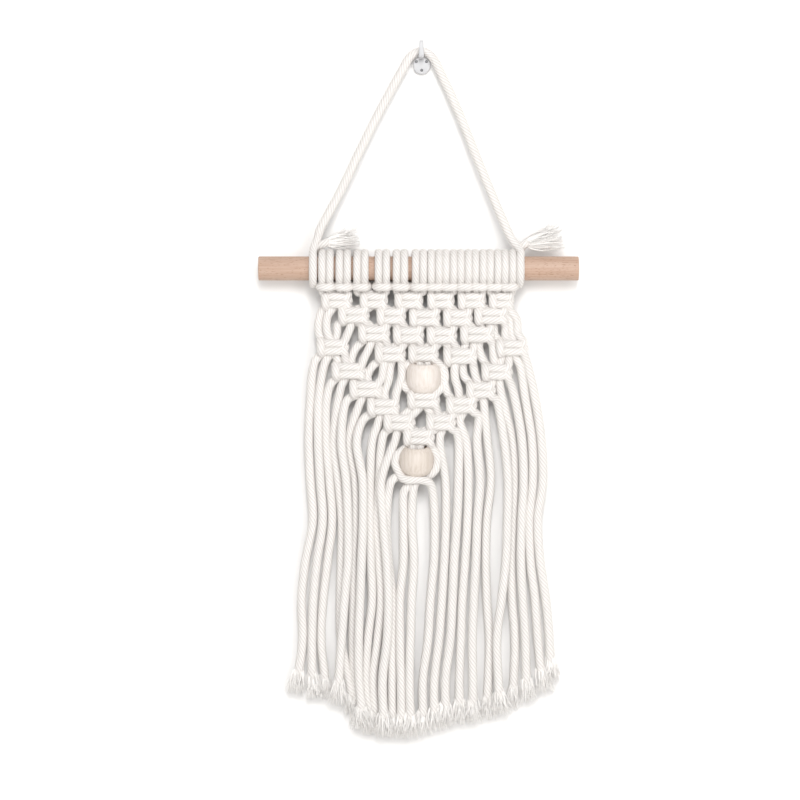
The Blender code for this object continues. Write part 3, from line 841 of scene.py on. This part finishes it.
# Each cord's way through a square knot of half width 9.2 mm: to the right, up and forward of the
# knot's middle. The first and last points are where the cord enters and leaves.
KNOT_WAYS: dict[Role, tuple[Point, ...]] = {
    Role.LEFT: (
        (-5.4, 4.7, -0.4), (-5.8, 3.5, -0.6), (-5.6, 2.5, 0.4), (-3.2, 2.3, 2.7),
        (0.6, 2.25, 3.2), (3.8, 2.2, 2.8), (6.0, 1.7, 1.5), (7.0, 0.1, 0.6),
        (6.1, -1.6, 1.3), (3.8, -2.2, 2.7), (0.6, -2.3, 3.2), (-3.2, -2.3, 2.6),
        (-5.6, -2.6, 0.4), (-5.9, -3.6, -0.6), (-5.4, -4.7, -0.4),
    ),
    Role.FILL_LEFT: (
        (-1.6, 4.7, 0.0), (-1.3, 3.0, 0.0), (-1.3, -3.0, 0.0), (-1.6, -4.7, 0.0),
    ),
    Role.FILL_RIGHT: (
        (1.6, 4.7, 0.0), (1.3, 3.0, 0.0), (1.3, -3.0, 0.0), (1.6, -4.7, 0.0),
    ),
    Role.RIGHT: (
        (6.8, 4.7, 0.4), (6.6, 3.6, 1.8), (5.9, 2.2, 2.7), (4.7, 1.0, 1.4),
        (3.6, 0.9, -0.9), (1.0, 1.5, -2.8), (-2.6, 2.5, -2.9), (-5.6, 3.6, -1.4),
        (-7.0, 3.8, 1.0), (-7.0, 2.4, 3.2), (-6.9, 0.2, 4.0), (-6.8, -2.2, 3.4),
        (-6.4, -3.8, 1.4), (-5.2, -3.8, -1.0), (-2.4, -3.0, -2.8), (1.2, -2.0, -2.9),
        (3.8, -1.1, -1.2), (5.0, -1.0, 1.2), (6.0, -2.2, 2.6), (6.6, -3.6, 1.6),
        (6.8, -4.7, 0.3),
    ),
}


@dataclass(frozen=True)
class SquareKnot:
    """A square knot of four cords, as wide as twice its half width."""

    x: float
    z: float
    half: float
    first: int

    def route(self, role: Role) -> list[Vector]:
        """The cord's way through the knot.

        Args:
            role: What the cord does in the knot.

        Returns:
            Points in the hanging's frame, from the top down.
        """
        widen = self.half / 9.2
        return [
            Vector((self.x + right * widen, NET_Y - forward, self.z + up))
            for right, up, forward in KNOT_WAYS[role]
        ]


@dataclass(frozen=True)
class LarksHead:
    """The mounting of one folded cord: up the back, over the dowel and down behind its bight."""

    x: float
    apart: float = 2.3
    wrap_radius: float = 9.5

    def half_route(self, side: int) -> list[Vector]:
        """One strand from the middle of the bight to where it hangs.

        Args:
            side: -1 for the left strand, 1 for the right one.

        Returns:
            Points in the hanging's frame.
        """
        under = [(0.3, -6.5, -11.5), (2.4, -6.2, -11.4), (4.0, -3.6, -11.1), (3.9, 0.4, -10.2)]
        points = [Vector((side * x, y, z)) for x, y, z in under]
        for degrees in range(-150, 150, 30):
            share = (degrees + 150) / 300
            x = 3.4 + (self.apart - 3.4) * min(1.0, share * 2)
            turn = math.radians(degrees)
            y = -self.wrap_radius * math.sin(turn)
            points.append(Vector((side * x, y, self.wrap_radius * math.cos(turn))))
        for share, y, z in ((0.95, -4.3, -8.9), (0.9, -2.0, -11.4), (0.9, -0.4, -14.2)):
            points.append(Vector((side * self.apart * share, y, z)))
        place = Vector((self.x, DOWEL_Y, DOWEL_Z))
        return [point + place for point in points]


@dataclass
class Knotting:
    """Works out the route of every strand, from its lark's head through its knots to its tip."""

    knots: list[SquareKnot] = field(default_factory=lambda: [SquareKnot(*row) for row in KNOTS])
    beside_bead: float = 12.9
    upper_bead: tuple[float, float] = UPPER_BEAD
    lower_bead: tuple[float, float] = LOWER_BEAD

    def between(self, strand: int, high: float, low: float) -> list[Vector]:
        """Points that a strand passes on its way between two knots.

        Args:
            strand: The strand's number.
            high: Height of the upper knot's middle.
            low: Height of the lower knot's middle.

        Returns:
            The points, from the top down; none where the knots are close together.
        """
        x, z = self.upper_bead
        if strand in (11, 12, 13, 14) and high > z > low:
            side = -1 if strand < 13 else 1
            if strand in SWAPPED:
                ways = ((6.5, 11.2, -0.6), (0.5, self.beside_bead, -1.0), (-5.5, 11.4, -0.4))
            else:
                ways = tuple((rise, 2.2, rise * BEAD_LEAN) for rise in (8.0, 0.0, -8.0))
            return [
                Vector((x + side * out, NET_Y - forward, z + rise)) for rise, out, forward in ways
            ]
        sway = 0.8 if strand % 2 else -0.7
        return [
            Vector((leg_x, NET_Y + sway, leg_z))
            for leg_x, leg_z in LEGS.get(strand, ())
            if low + 4.0 < leg_z < high - 4.0
        ]

    def tail(self, strand: int) -> list[Vector]:
        """Where a strand hangs after its last knot.

        Args:
            strand: The strand's number.

        Returns:
            The points, from the knot to the start of its frayed end.
        """
        exit_x, exit_z, lay, levels, tip_x, tip_z = STRANDS[strand]
        points = [Vector((exit_x, NET_Y + 0.5, exit_z))]
        for index, x in enumerate(levels, start=LEVELS - len(levels)):
            z = LEVEL_TOP - index * LEVEL_STEP
            if tip_z + FRAY_LENGTH + 9.0 < z < exit_z - 9.0:
                share = min(1.0, (exit_z - z) / 26.0)
                points.append(Vector((x, NET_Y + 0.5 + (lay - NET_Y - 0.5) * share, z)))
        end_z = tip_z + FRAY_LENGTH * 0.75
        last = points[-1]
        share = (last.z - end_z) / (last.z - tip_z)
        points.append(Vector((last.x + (tip_x - last.x) * share, lay, end_z)))
        return points

    def through_lower_bead(self, strand: int) -> list[Vector]:
        """A middle strand's way past or through the lower bead and the tie under it.

        Args:
            strand: The strand's number, 11 to 14.

        Returns:
            The points, from the top down.
        """
        x, z = self.lower_bead
        ways = {
            11: (
                (-9.4, -230.2, -0.2), (-14.6, -234.6, 0.6), (-16.0, -239.0, 0.8),
                (-13.9, -244.8, 1.2), (-11.6, -248.4, 2.8), (-8.0, -249.5, 3.8),
                (-3.6, -249.4, 3.6), (1.2, -249.8, 2.8), (4.7, -251.6, 1.2),
            ),
            14: (
                (6.2, -230.2, -0.4), (9.0, -235.0, 0.4), (9.2, -239.6, 0.6),
                (7.4, -244.4, 0.2), (2.4, -248.0, -1.8), (-3.0, -249.2, -2.8),
                (-8.6, -248.6, -2.4), (-12.8, -247.4, -1.2), (-16.0, -248.2, 0.2),
                (-18.4, -250.8, 0.6),
            ),
            12: (
                (x - 2.2, z + 8.0, 8.0 * BEAD_LEAN), (x - 2.2, z - 8.0, -8.0 * BEAD_LEAN),
                (x - 2.8, z - 11.6, -0.6), (-8.6, -253.4, 0.2),
            ),
            13: (
                (x + 2.2, z + 8.0, 8.0 * BEAD_LEAN), (x + 2.0, z - 8.0, -8.0 * BEAD_LEAN),
                (x + 0.6, z - 11.6, -0.4), (-4.6, -253.6, 0.4),
            ),
        }
        return [Vector((px, NET_Y - forward, pz)) for px, pz, forward in ways[strand]]

    def route(self, strand: int) -> tuple[list[Vector], Vector]:
        """The whole route of one strand.

        Args:
            strand: Its number, from 1 at the left.

        Returns:
            Its points from the bight to the start of its frayed end, and the point at which it
            leaves the last knot and hangs free.
        """
        side = -1 if strand % 2 else 1
        points = LarksHead(HEAD_CENTRES[(strand - 1) // 2]).half_route(side)
        passed = [knot for knot in self.knots if knot.first <= strand <= knot.first + 3]
        for number, knot in enumerate(passed):
            way = knot.route(Role(strand - knot.first))
            before = self.between(strand, passed[number - 1].z, knot.z) if number else []
            last = number + 1 == len(passed)
            if last or self.between(strand, knot.z, passed[number + 1].z):
                way.pop()
            if before:
                way = before + way[1:]
            elif number:
                # Close knots share the middle of the cord's way out of one and into the next.
                way[0] = (way[0] + points.pop()) / 2
            points += way
        if strand in (11, 12, 13, 14):
            points += self.through_lower_bead(strand)
        tail = self.tail(SWAPPED.get(strand, strand))
        return points + tail, tail[0]


# ---------------------------------------------------------------- sub-assemblies


@dataclass
class Strand:
    """Half of a folded cord, from the middle of its bight to the start of its frayed end."""

    number: int
    line: np.ndarray
    along: np.ndarray
    free_from: float
    radii: np.ndarray

    def free_length(self) -> float:
        """How much of it hangs free below its last knot, in millimetres."""
        return float(self.along[-1] - self.free_from)


@dataclass
class CordWork:
    """The twelve folded cords: knotted middle lengths and 24 hanging strands with frayed ends."""

    cotton: bpy.types.Material
    fibre: bpy.types.Material
    cord: LaidCord
    tied_radius: float = 2.6
    wrap_radius: float = 2.4
    hanging_radius: float = CORD_RADIUS
    end_radius: float = 2.95

    def radii(self, line: np.ndarray, free_from: float, along: np.ndarray) -> np.ndarray:
        """Radius at each point: drawn thin in the knots, full where the strand hangs.

        Args:
            line: The strand's points, bight first.
            free_from: Where it leaves the last knot, in millimetres along it.
            along: Each point's place along it.

        Returns:
            The radii in millimetres.
        """
        radius = np.full(len(line), self.tied_radius)
        # Above the first row of knots the cord is pulled tight round the dowel.
        near_dowel = np.clip((line[:, 2] + 139.0) / 4.0, 0.0, 1.0)
        radius += (self.wrap_radius - self.tied_radius) * near_dowel
        loose = np.clip((along - free_from) / 14.0, 0.0, 1.0)
        radius += (self.hanging_radius - self.tied_radius) * loose
        # It opens a little where the lay loosens, and its end closes in among the wisps.
        last = np.clip((along - along[-1] + 9.0) / 6.0, 0.0, 1.0)
        radius += (self.end_radius - self.hanging_radius) * last
        return radius - 1.0 * np.clip((along - along[-1] + 3.5) / 3.5, 0.0, 1.0)

    def strand(self, number: int) -> Strand:
        """Routes one strand and finds where it leaves its last knot.

        Args:
            number: The strand's number in the net.

        Returns:
            The strand.
        """
        points, exit_point = Knotting().route(number)
        line = smooth_route(points, self.cord.step)
        along = places_along(line)
        gap = np.linalg.norm(line - np.array(exit_point), axis=1)
        # The first part of the strand lies in the heading, so the search leaves it out.
        gap[along < along[-1] * 0.3] = math.inf
        free_from = float(along[int(gap.argmin())]) - 3.0
        return Strand(number, line, along, free_from, self.radii(line, free_from, along))

    def build(self) -> None:
        """Lays all twelve cords, and makes a piece of the knotted lengths of each third."""
        thirds = {"left": range(1, 5), "middle": range(5, 9), "right": range(9, 13)}
        knotted = {place: [self.lay(each) for each in cords] for place, cords in thirds.items()}
        for place, parts in knotted.items():
            mesh = self.cord.to_mesh(f"knotted_cords_{place}", parts)
            piece = add_piece(f"knotted_cords_{place}", mesh, "cotton", self.cotton)
            heads = [f"larks_head_{head:02d}" for head in thirds[place]]
            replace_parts(piece, "knotted_net", *heads)

    def lay(self, number: int) -> bmesh.types.BMesh:
        """Lays one folded cord whole, so that its ribs run on, and adds its hanging lengths.

        Args:
            number: The cord's number, from 1 at the left.

        Returns:
            Its knotted length, open at its ends.
        """
        left, right = self.strand(2 * number - 1), self.strand(2 * number)
        line = np.vstack([left.line[::-1], right.line])
        whole = Run(line, np.concatenate([left.radii[::-1], right.radii]))
        tube = self.cord.tube(whole)
        low, high = left.free_length(), whole.length() - right.free_length()
        knotted = self.cord.stretch(tube, low, high)
        self.hang(left, self.cord.stretch(tube, -1.0, low))
        self.hang(right, self.cord.stretch(tube, high, whole.length() + 1.0))
        tube.free()
        return knotted

    def hang(self, strand: Strand, tube: bmesh.types.BMesh) -> None:
        """Args:
            strand: The strand.
            tube: Its hanging length.
        """
        place = SWAPPED.get(strand.number, strand.number)
        hanging = strand.line[strand.along >= strand.free_from]
        name = f"strand_{place:02d}"
        piece = add_piece(name, self.cord.to_mesh(name, [tube]), "cotton", self.cotton)
        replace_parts(piece, "fringe")
        # The wisps start inside the last of the cord, and aim near the tip in the photograph.
        foot = Vector(hanging[-1])
        start = foot - Vector(hanging[-1] - hanging[-8]).normalized() * 5.0
        _, _, y, _, tip_x, tip_z = STRANDS[place]
        dice = random.Random(place)
        tip = Vector((tip_x + dice.uniform(-1.6, 1.6), y, tip_z))
        end = FrayedEnd(
            start=start,
            heading=tip - start,
            cord_radius=self.end_radius,
            length=(tip - start).length * dice.uniform(0.94, 1.04),
            spread=dice.uniform(2.8, 4.8),
            seed=100 + place,
        )
        name = f"frayed_end_{place:02d}"
        frayed = add_piece(name, end.mesh(name), "cotton", self.fibre)
        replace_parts(frayed, "fringe")


@dataclass
class Hanger:
    """The hanging cord over the hook, and its hitches with their frayed tails."""

    cotton: bpy.types.Material
    fibre: bpy.types.Material
    cord: LaidCord
    radius: float = CORD_RADIUS

    def build(self) -> None:
        """Lays the long cord and both hitches."""
        line = smooth_route(HANGER_ROUTE, self.cord.step)
        # The cord is squeezed thin where it lies over the hook.
        near_hook = np.exp(-((line[:, 0] / 7.0) ** 2) - ((line[:, 2] - 7.0) / 9.0) ** 2)
        run = Run(line, self.radius - 0.5 * near_hook)
        mesh = self.cord.to_mesh("hanging_cord", [self.cord.tube(run)])
        piece = add_piece("hanging_cord", mesh, "cotton", self.cotton)
        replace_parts(piece, "hanger_cord")
        run.length() * MM
        self.hitch("left", Vector(HANGER_ROUTE[0]), Vector(HANGER_ROUTE[1]))
        self.hitch("right", Vector(HANGER_ROUTE[-1]), Vector(HANGER_ROUTE[-2]))

    def hitch(self, side: str, top: Vector, above: Vector) -> None:
        """Adds one hitch: once round the dowel, then a tail along the top of the heading.

        Args:
            side: left or right.
            top: Where the hanging cord ends.
            above: A point further up it, for its direction.
        """
        x, tail, tip_place, spread, seed = HITCHES[side]
        tip = Vector(tip_place)
        lean = (top - above).normalized()
        points = [top - lean, top + lean * 2.0]
        wrap = DOWEL_RADIUS + self.radius - 0.5
        for degrees in (20, 50, 90, 130, 170, 210, 250, 290, 325):
            turn = math.radians(degrees)
            reach = wrap + (1.6 if degrees == 20 else 0.0)
            y, z = DOWEL_Y - reach * math.sin(turn), DOWEL_Z + reach * math.cos(turn)
            points.append(Vector((x, y, z)))
        points += [Vector(point) for point in tail]
        line = smooth_route(points, self.cord.step)
        run = Run(line, np.full(len(line), self.radius - 0.25))
        name = f"hitch_{side}"
        mesh = self.cord.to_mesh(name, [self.cord.tube(run)])
        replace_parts(add_piece(name, mesh, "cotton", self.cotton), f"hanger_hitch_{side}")
        start = Vector(line[-1]) - (tip - Vector(line[-1])).normalized() * 2.5
        end = FrayedEnd(
            start=start,
            heading=tip - start,
            cord_radius=self.radius,
            length=(tip - start).length,
            spread=spread,
            seed=seed,
            wisps=70,
            fibres=160,
        )
        name = f"hitch_tail_{side}"
        tail_piece = add_piece(name, end.mesh(name), "cotton", self.fibre)
        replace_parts(tail_piece, f"hanger_hitch_{side}")


@dataclass
class Dowel:
    """A turned beech rod with eased ends."""

    material: bpy.types.Material
    length: float = 192.0
    middle_x: float = -2.0
    ease: float = 0.7

    def build(self) -> None:
        """Turns the rod from a cylinder and rounds its end edges."""
        bm = bmesh.new()
        bmesh.ops.create_cone(
            bm,
            cap_ends=True,
            segments=96,
            radius1=DOWEL_RADIUS,
            radius2=DOWEL_RADIUS,
            depth=self.length,
        )
        rims = [edge for edge in bm.edges if abs(edge.verts[0].co.z - edge.verts[1].co.z) < 1e-6]
        bevel_edges(bm, rims, self.ease, 4)
        turn = Matrix.Rotation(math.pi / 2, 3, "Y")
        bmesh.ops.rotate(bm, verts=bm.verts, cent=(0, 0, 0), matrix=turn)
        bmesh.ops.translate(bm, verts=bm.verts, vec=(self.middle_x, DOWEL_Y, DOWEL_Z))
        piece = add_piece("beech_dowel", finish_mesh("beech_dowel", bm), "beech", self.material)
        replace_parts(piece, "dowel")


@dataclass
class Bead:
    """A turned wooden bead: a flattened ball with a bored, slightly burnt hole."""

    name: str
    middle: tuple[float, float]
    radius: float
    half_height: float
    wood: bpy.types.Material
    burnt: bpy.types.Material
    bore: float = 5.3
    fullness: float = 2.5

    def build(self) -> None:
        """Turns the bead's outline about its bore, and tips the bead forward."""
        bm = bmesh.new()
        outline = []
        for step in range(25):
            height = self.half_height * (1.0 - step / 12)
            share = 1.0 - (abs(height) / self.radius) ** self.fullness
            outline.append(bm.verts.new((self.radius * share ** (1 / self.fullness), 0, height)))
        rim = self.half_height
        for height, out in ((-rim, 0.7), (-rim + 0.7, 0.0), (rim - 0.7, 0.0), (rim, 0.7)):
            outline.append(bm.verts.new((self.bore + out, 0, height)))
        edges = [bm.edges.new((outline[i - 1], outline[i])) for i in range(len(outline))]
        bmesh.ops.spin(
            bm,
            geom=outline + edges,
            cent=(0, 0, 0),
            axis=(0, 0, 1),
            angle=math.tau,
            steps=64,
            use_merge=True,
        )
        for face in bm.faces:
            middle = face.calc_center_median()
            face.material_index = int(math.hypot(middle.x, middle.y) < self.bore + 0.6)
        lean = Matrix.Rotation(math.atan(BEAD_LEAN), 3, "X")
        bmesh.ops.rotate(bm, verts=bm.verts, cent=(0, 0, 0), matrix=lean)
        bmesh.ops.translate(bm, verts=bm.verts, vec=(self.middle[0], NET_Y, self.middle[1]))
        mesh = finish_mesh(self.name, bm)
        piece = add_piece(f"turned_{self.name}", mesh, "maple", self.wood, self.burnt)
        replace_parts(piece, self.name)


@dataclass
class Hook:
    """The small moulded wall hook with its three pin heads."""

    plastic: bpy.types.Material
    steel: bpy.types.Material
    disc_radius: float = 5.25
    disc_depth: float = 3.4
    arm_x: float = -0.3
    arm_width: float = 3.2
    prong_top: float = 14.4
    prong_front: float = -11.6
    prong_depth: float = 2.4
    pins: dict[str, tuple[float, float]] = field(
        default_factory=lambda: {"left": (-3.3, 2.2), "right": (2.9, 2.2), "low": (0.0, -3.0)}
    )

    def build(self) -> None:
        """Makes the disc, the arm with its prong and the pins."""
        disc = bmesh.new()
        bmesh.ops.create_cone(
            disc,
            cap_ends=True,
            segments=72,
            radius1=self.disc_radius,
            radius2=self.disc_radius,
            depth=self.disc_depth,
        )
        front = [edge for edge in disc.edges if all(vert.co.z > 0 for vert in edge.verts)]
        bevel_edges(disc, front, 0.8, 4)
        turn = Matrix.Rotation(math.pi / 2, 3, "X")
        bmesh.ops.rotate(disc, verts=disc.verts, cent=(0, 0, 0), matrix=turn)
        bmesh.ops.translate(disc, verts=disc.verts, vec=(0, -self.disc_depth / 2, 0))
        piece = add_piece("hook_disc", finish_mesh("hook_disc", disc), "plastic", self.plastic)
        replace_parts(piece, "wall_hook")
        piece = add_piece("hook_arm", self.arm(), "plastic", self.plastic)
        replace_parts(piece, "wall_hook")
        for side, (x, z) in self.pins.items():
            self.pin(side, x, z)

    def arm(self) -> bpy.types.Mesh:
        """The arm that runs forward from the disc and turns up into a tapering prong.

        Returns:
            Its mesh.
        """
        back = self.prong_front + self.prong_depth
        top = self.disc_radius - 0.1
        outline = (
            (-self.disc_depth + 0.6, 3.9),
            (-self.disc_depth + 0.6, top),
            (back - 0.2, top),
            (back + 0.2, top + 0.5),
            (back + 0.2, self.prong_top - 1.0),
            (back - 0.6, self.prong_top),
            (self.prong_front + 0.8, self.prong_top),
            (self.prong_front, self.prong_top - 1.0),
            (self.prong_front, 5.2),
            (self.prong_front + 0.6, 4.3),
            (self.prong_front + 2.0, 3.9),
        )
        bm = bmesh.new()
        verts = [bm.verts.new((-self.arm_width / 2, y, z)) for y, z in outline]
        grown = bmesh.ops.extrude_face_region(bm, geom=[bm.faces.new(verts)])
        far = [part for part in grown["geom"] if isinstance(part, bmesh.types.BMVert)]
        bmesh.ops.translate(bm, verts=far, vec=(self.arm_width, 0, 0))
        for vert in bm.verts:
            height = max(0.0, (vert.co.z - top) / (self.prong_top - top))
            vert.co.x = vert.co.x * (1.0 - 0.28 * height) + self.arm_x
        bmesh.ops.recalc_face_normals(bm, faces=bm.faces)
        bevel_edges(bm, list(bm.edges), 0.4, 3)
        return finish_mesh("hook_arm", bm)

    def pin(self, side: str, x: float, z: float) -> None:
        """Adds one low domed pin head in front of the disc.

        Args:
            side: Which of the three it is.
            x: Its middle, across.
            z: Its middle, up.
        """
        bm = bmesh.new()
        bmesh.ops.create_uvsphere(bm, u_segments=24, v_segments=12, radius=0.9)
        cut = bmesh.ops.bisect_plane(
            bm,
            geom=[*bm.verts, *bm.edges, *bm.faces],
            plane_co=(0, 0.1, 0),
            plane_no=(0, 1, 0),
            clear_outer=True,
        )
        rim = [part for part in cut["geom_cut"] if isinstance(part, bmesh.types.BMEdge)]
        bmesh.ops.holes_fill(bm, edges=rim, sides=0)
        bmesh.ops.scale(bm, vec=(1.0, 0.6, 1.0), verts=bm.verts)
        bmesh.ops.translate(bm, verts=bm.verts, vec=(x, -self.disc_depth - 0.1, z))
        name = f"pin_head_{side}"
        piece = add_piece(name, finish_mesh(name, bm, 50.0), "steel_pins", self.steel)
        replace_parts(piece, f"hook_pin_{side}")


@dataclass
class Studio:
    """The camera, the pale wall and floor, and soft light from the front, more from the right."""

    distance: float = 2200.0
    floor_z: float = -520.0

    def camera(self) -> None:
        """Places a long lens square to the wall, framed as the photograph is."""
        data = bpy.data.cameras.new("camera")
        data.sensor_width = 36.0
        data.lens = 36.0 * self.distance / FRAME_MM
        data.clip_end = 50.0
        camera = bpy.data.objects.new("camera", data)
        x, z = FRAME_MIDDLE
        camera.location = Vector((x, -self.distance + NET_Y, z)) * MM
        camera.rotation_euler = (math.pi / 2, 0.0, 0.0)
        bpy.context.scene.collection.objects.link(camera)
        bpy.context.scene.camera = camera

    def backdrop(self) -> None:
        """Adds the wall, which only shows from its front, and the floor."""
        wall_material, shader = new_material("matt_wall_paint")
        set_inputs(wall_material, shader, {"Base Color": linear("#F6F5F4"), "Roughness": 0.9})
        behind = add_node(wall_material, "NewGeometry", {}, out="Backfacing")
        clear = add_node(wall_material, "BsdfTransparent", {})
        mix = add_node(wall_material, "MixShader", {0: behind, 1: shader.outputs[0], 2: clear})
        set_inputs(wall_material, wall_material.node_tree.nodes["Material Output"], {0: mix})
        floor_material = PlainFinish("matt_floor_paint", "#F1F0EE", 0.85, speck_mm=4.0).make()
        for name, material in (("wall", wall_material), ("floor", floor_material)):
            bm = bmesh.new()
            bmesh.ops.create_grid(bm, x_segments=1, y_segments=1, size=3.0)
            if name == "wall":
                turn = Matrix.Rotation(math.pi / 2, 3, "X")
                bmesh.ops.rotate(bm, verts=bm.verts, cent=(0, 0, 0), matrix=turn)
                bmesh.ops.translate(bm, verts=bm.verts, vec=(0, 0.3 * MM, 3.0 + self.floor_z * MM))
            else:
                bmesh.ops.translate(bm, verts=bm.verts, vec=(0, -2.9, self.floor_z * MM))
            mesh = bpy.data.meshes.new(name)
            bm.to_mesh(mesh)
            bm.free()
            mesh.materials.append(material)
            board = bpy.data.objects.new(name, mesh)
            bpy.context.scene.collection.objects.link(board)

    def lights(self) -> None:
        """Adds three upright soft boxes and the room's even light."""
        aim = Vector((-10.0, 0.0, -200.0)) * MM
        for name, place, height, power in (
            ("front", (60.0, -2000.0, 750.0), 1.0, 24.5),
            ("key", (850.0, -1800.0, -120.0), 2.2, 15.5),
            ("fill", (-400.0, -1950.0, -120.0), 2.2, 8.0),
        ):
            data = bpy.data.lights.new(name, "AREA")
            data.shape = "RECTANGLE"
            data.size = 0.45
            data.size_y = height
            data.energy = power
            light = bpy.data.objects.new(name, data)
            light.location = Vector(place) * MM
            light.rotation_euler = (aim - light.location).to_track_quat("-Z", "Y").to_euler()
            bpy.context.scene.collection.objects.link(light)
        world = bpy.data.worlds.new("room")
        world.use_nodes = True
        background = world.node_tree.nodes["Background"]
        background.inputs[0].default_value = linear("#FFFFFF")
        background.inputs[1].default_value = 0.35
        bpy.context.scene.world = world
        bpy.context.scene.view_settings.view_transform = "Standard"


def main() -> None:
    """Builds the studio and every piece in order."""
    logging.basicConfig(level=logging.INFO, format="%(name)s: %(message)s")
    studio = Studio()
    studio.camera()
    cotton = CottonCord().make()
    fibre = LOOSE_COTTON_PAINTED_BRIGHT.make()
    cord = LaidCord()
    CordWork(cotton, fibre, cord).build()
    Hanger(cotton, fibre, cord).build()
    cord.remove_section()
    Dowel(SandedBeech().make()).build()
    pale, deep = PALE_MAPLE.make(), DEEP_MAPLE.make()
    burnt = PlainFinish("bored_wood", "#A98B6C", 0.7).make()
    Bead("bead_upper", UPPER_BEAD, 10.5, 8.4, pale, burnt).build()
    Bead("bead_lower", LOWER_BEAD, 10.3, 8.3, deep, burnt).build()
    plastic = PlainFinish("moulded_plastic", "#C1C1C3", 0.42).make()
    steel = PlainFinish("pressed_steel_pin", "#77787A", 0.45, metallic=0.3).make()
    Hook(plastic, steel).build()
    studio.backdrop()
    studio.lights()


if __name__ == "__main__":
    main()
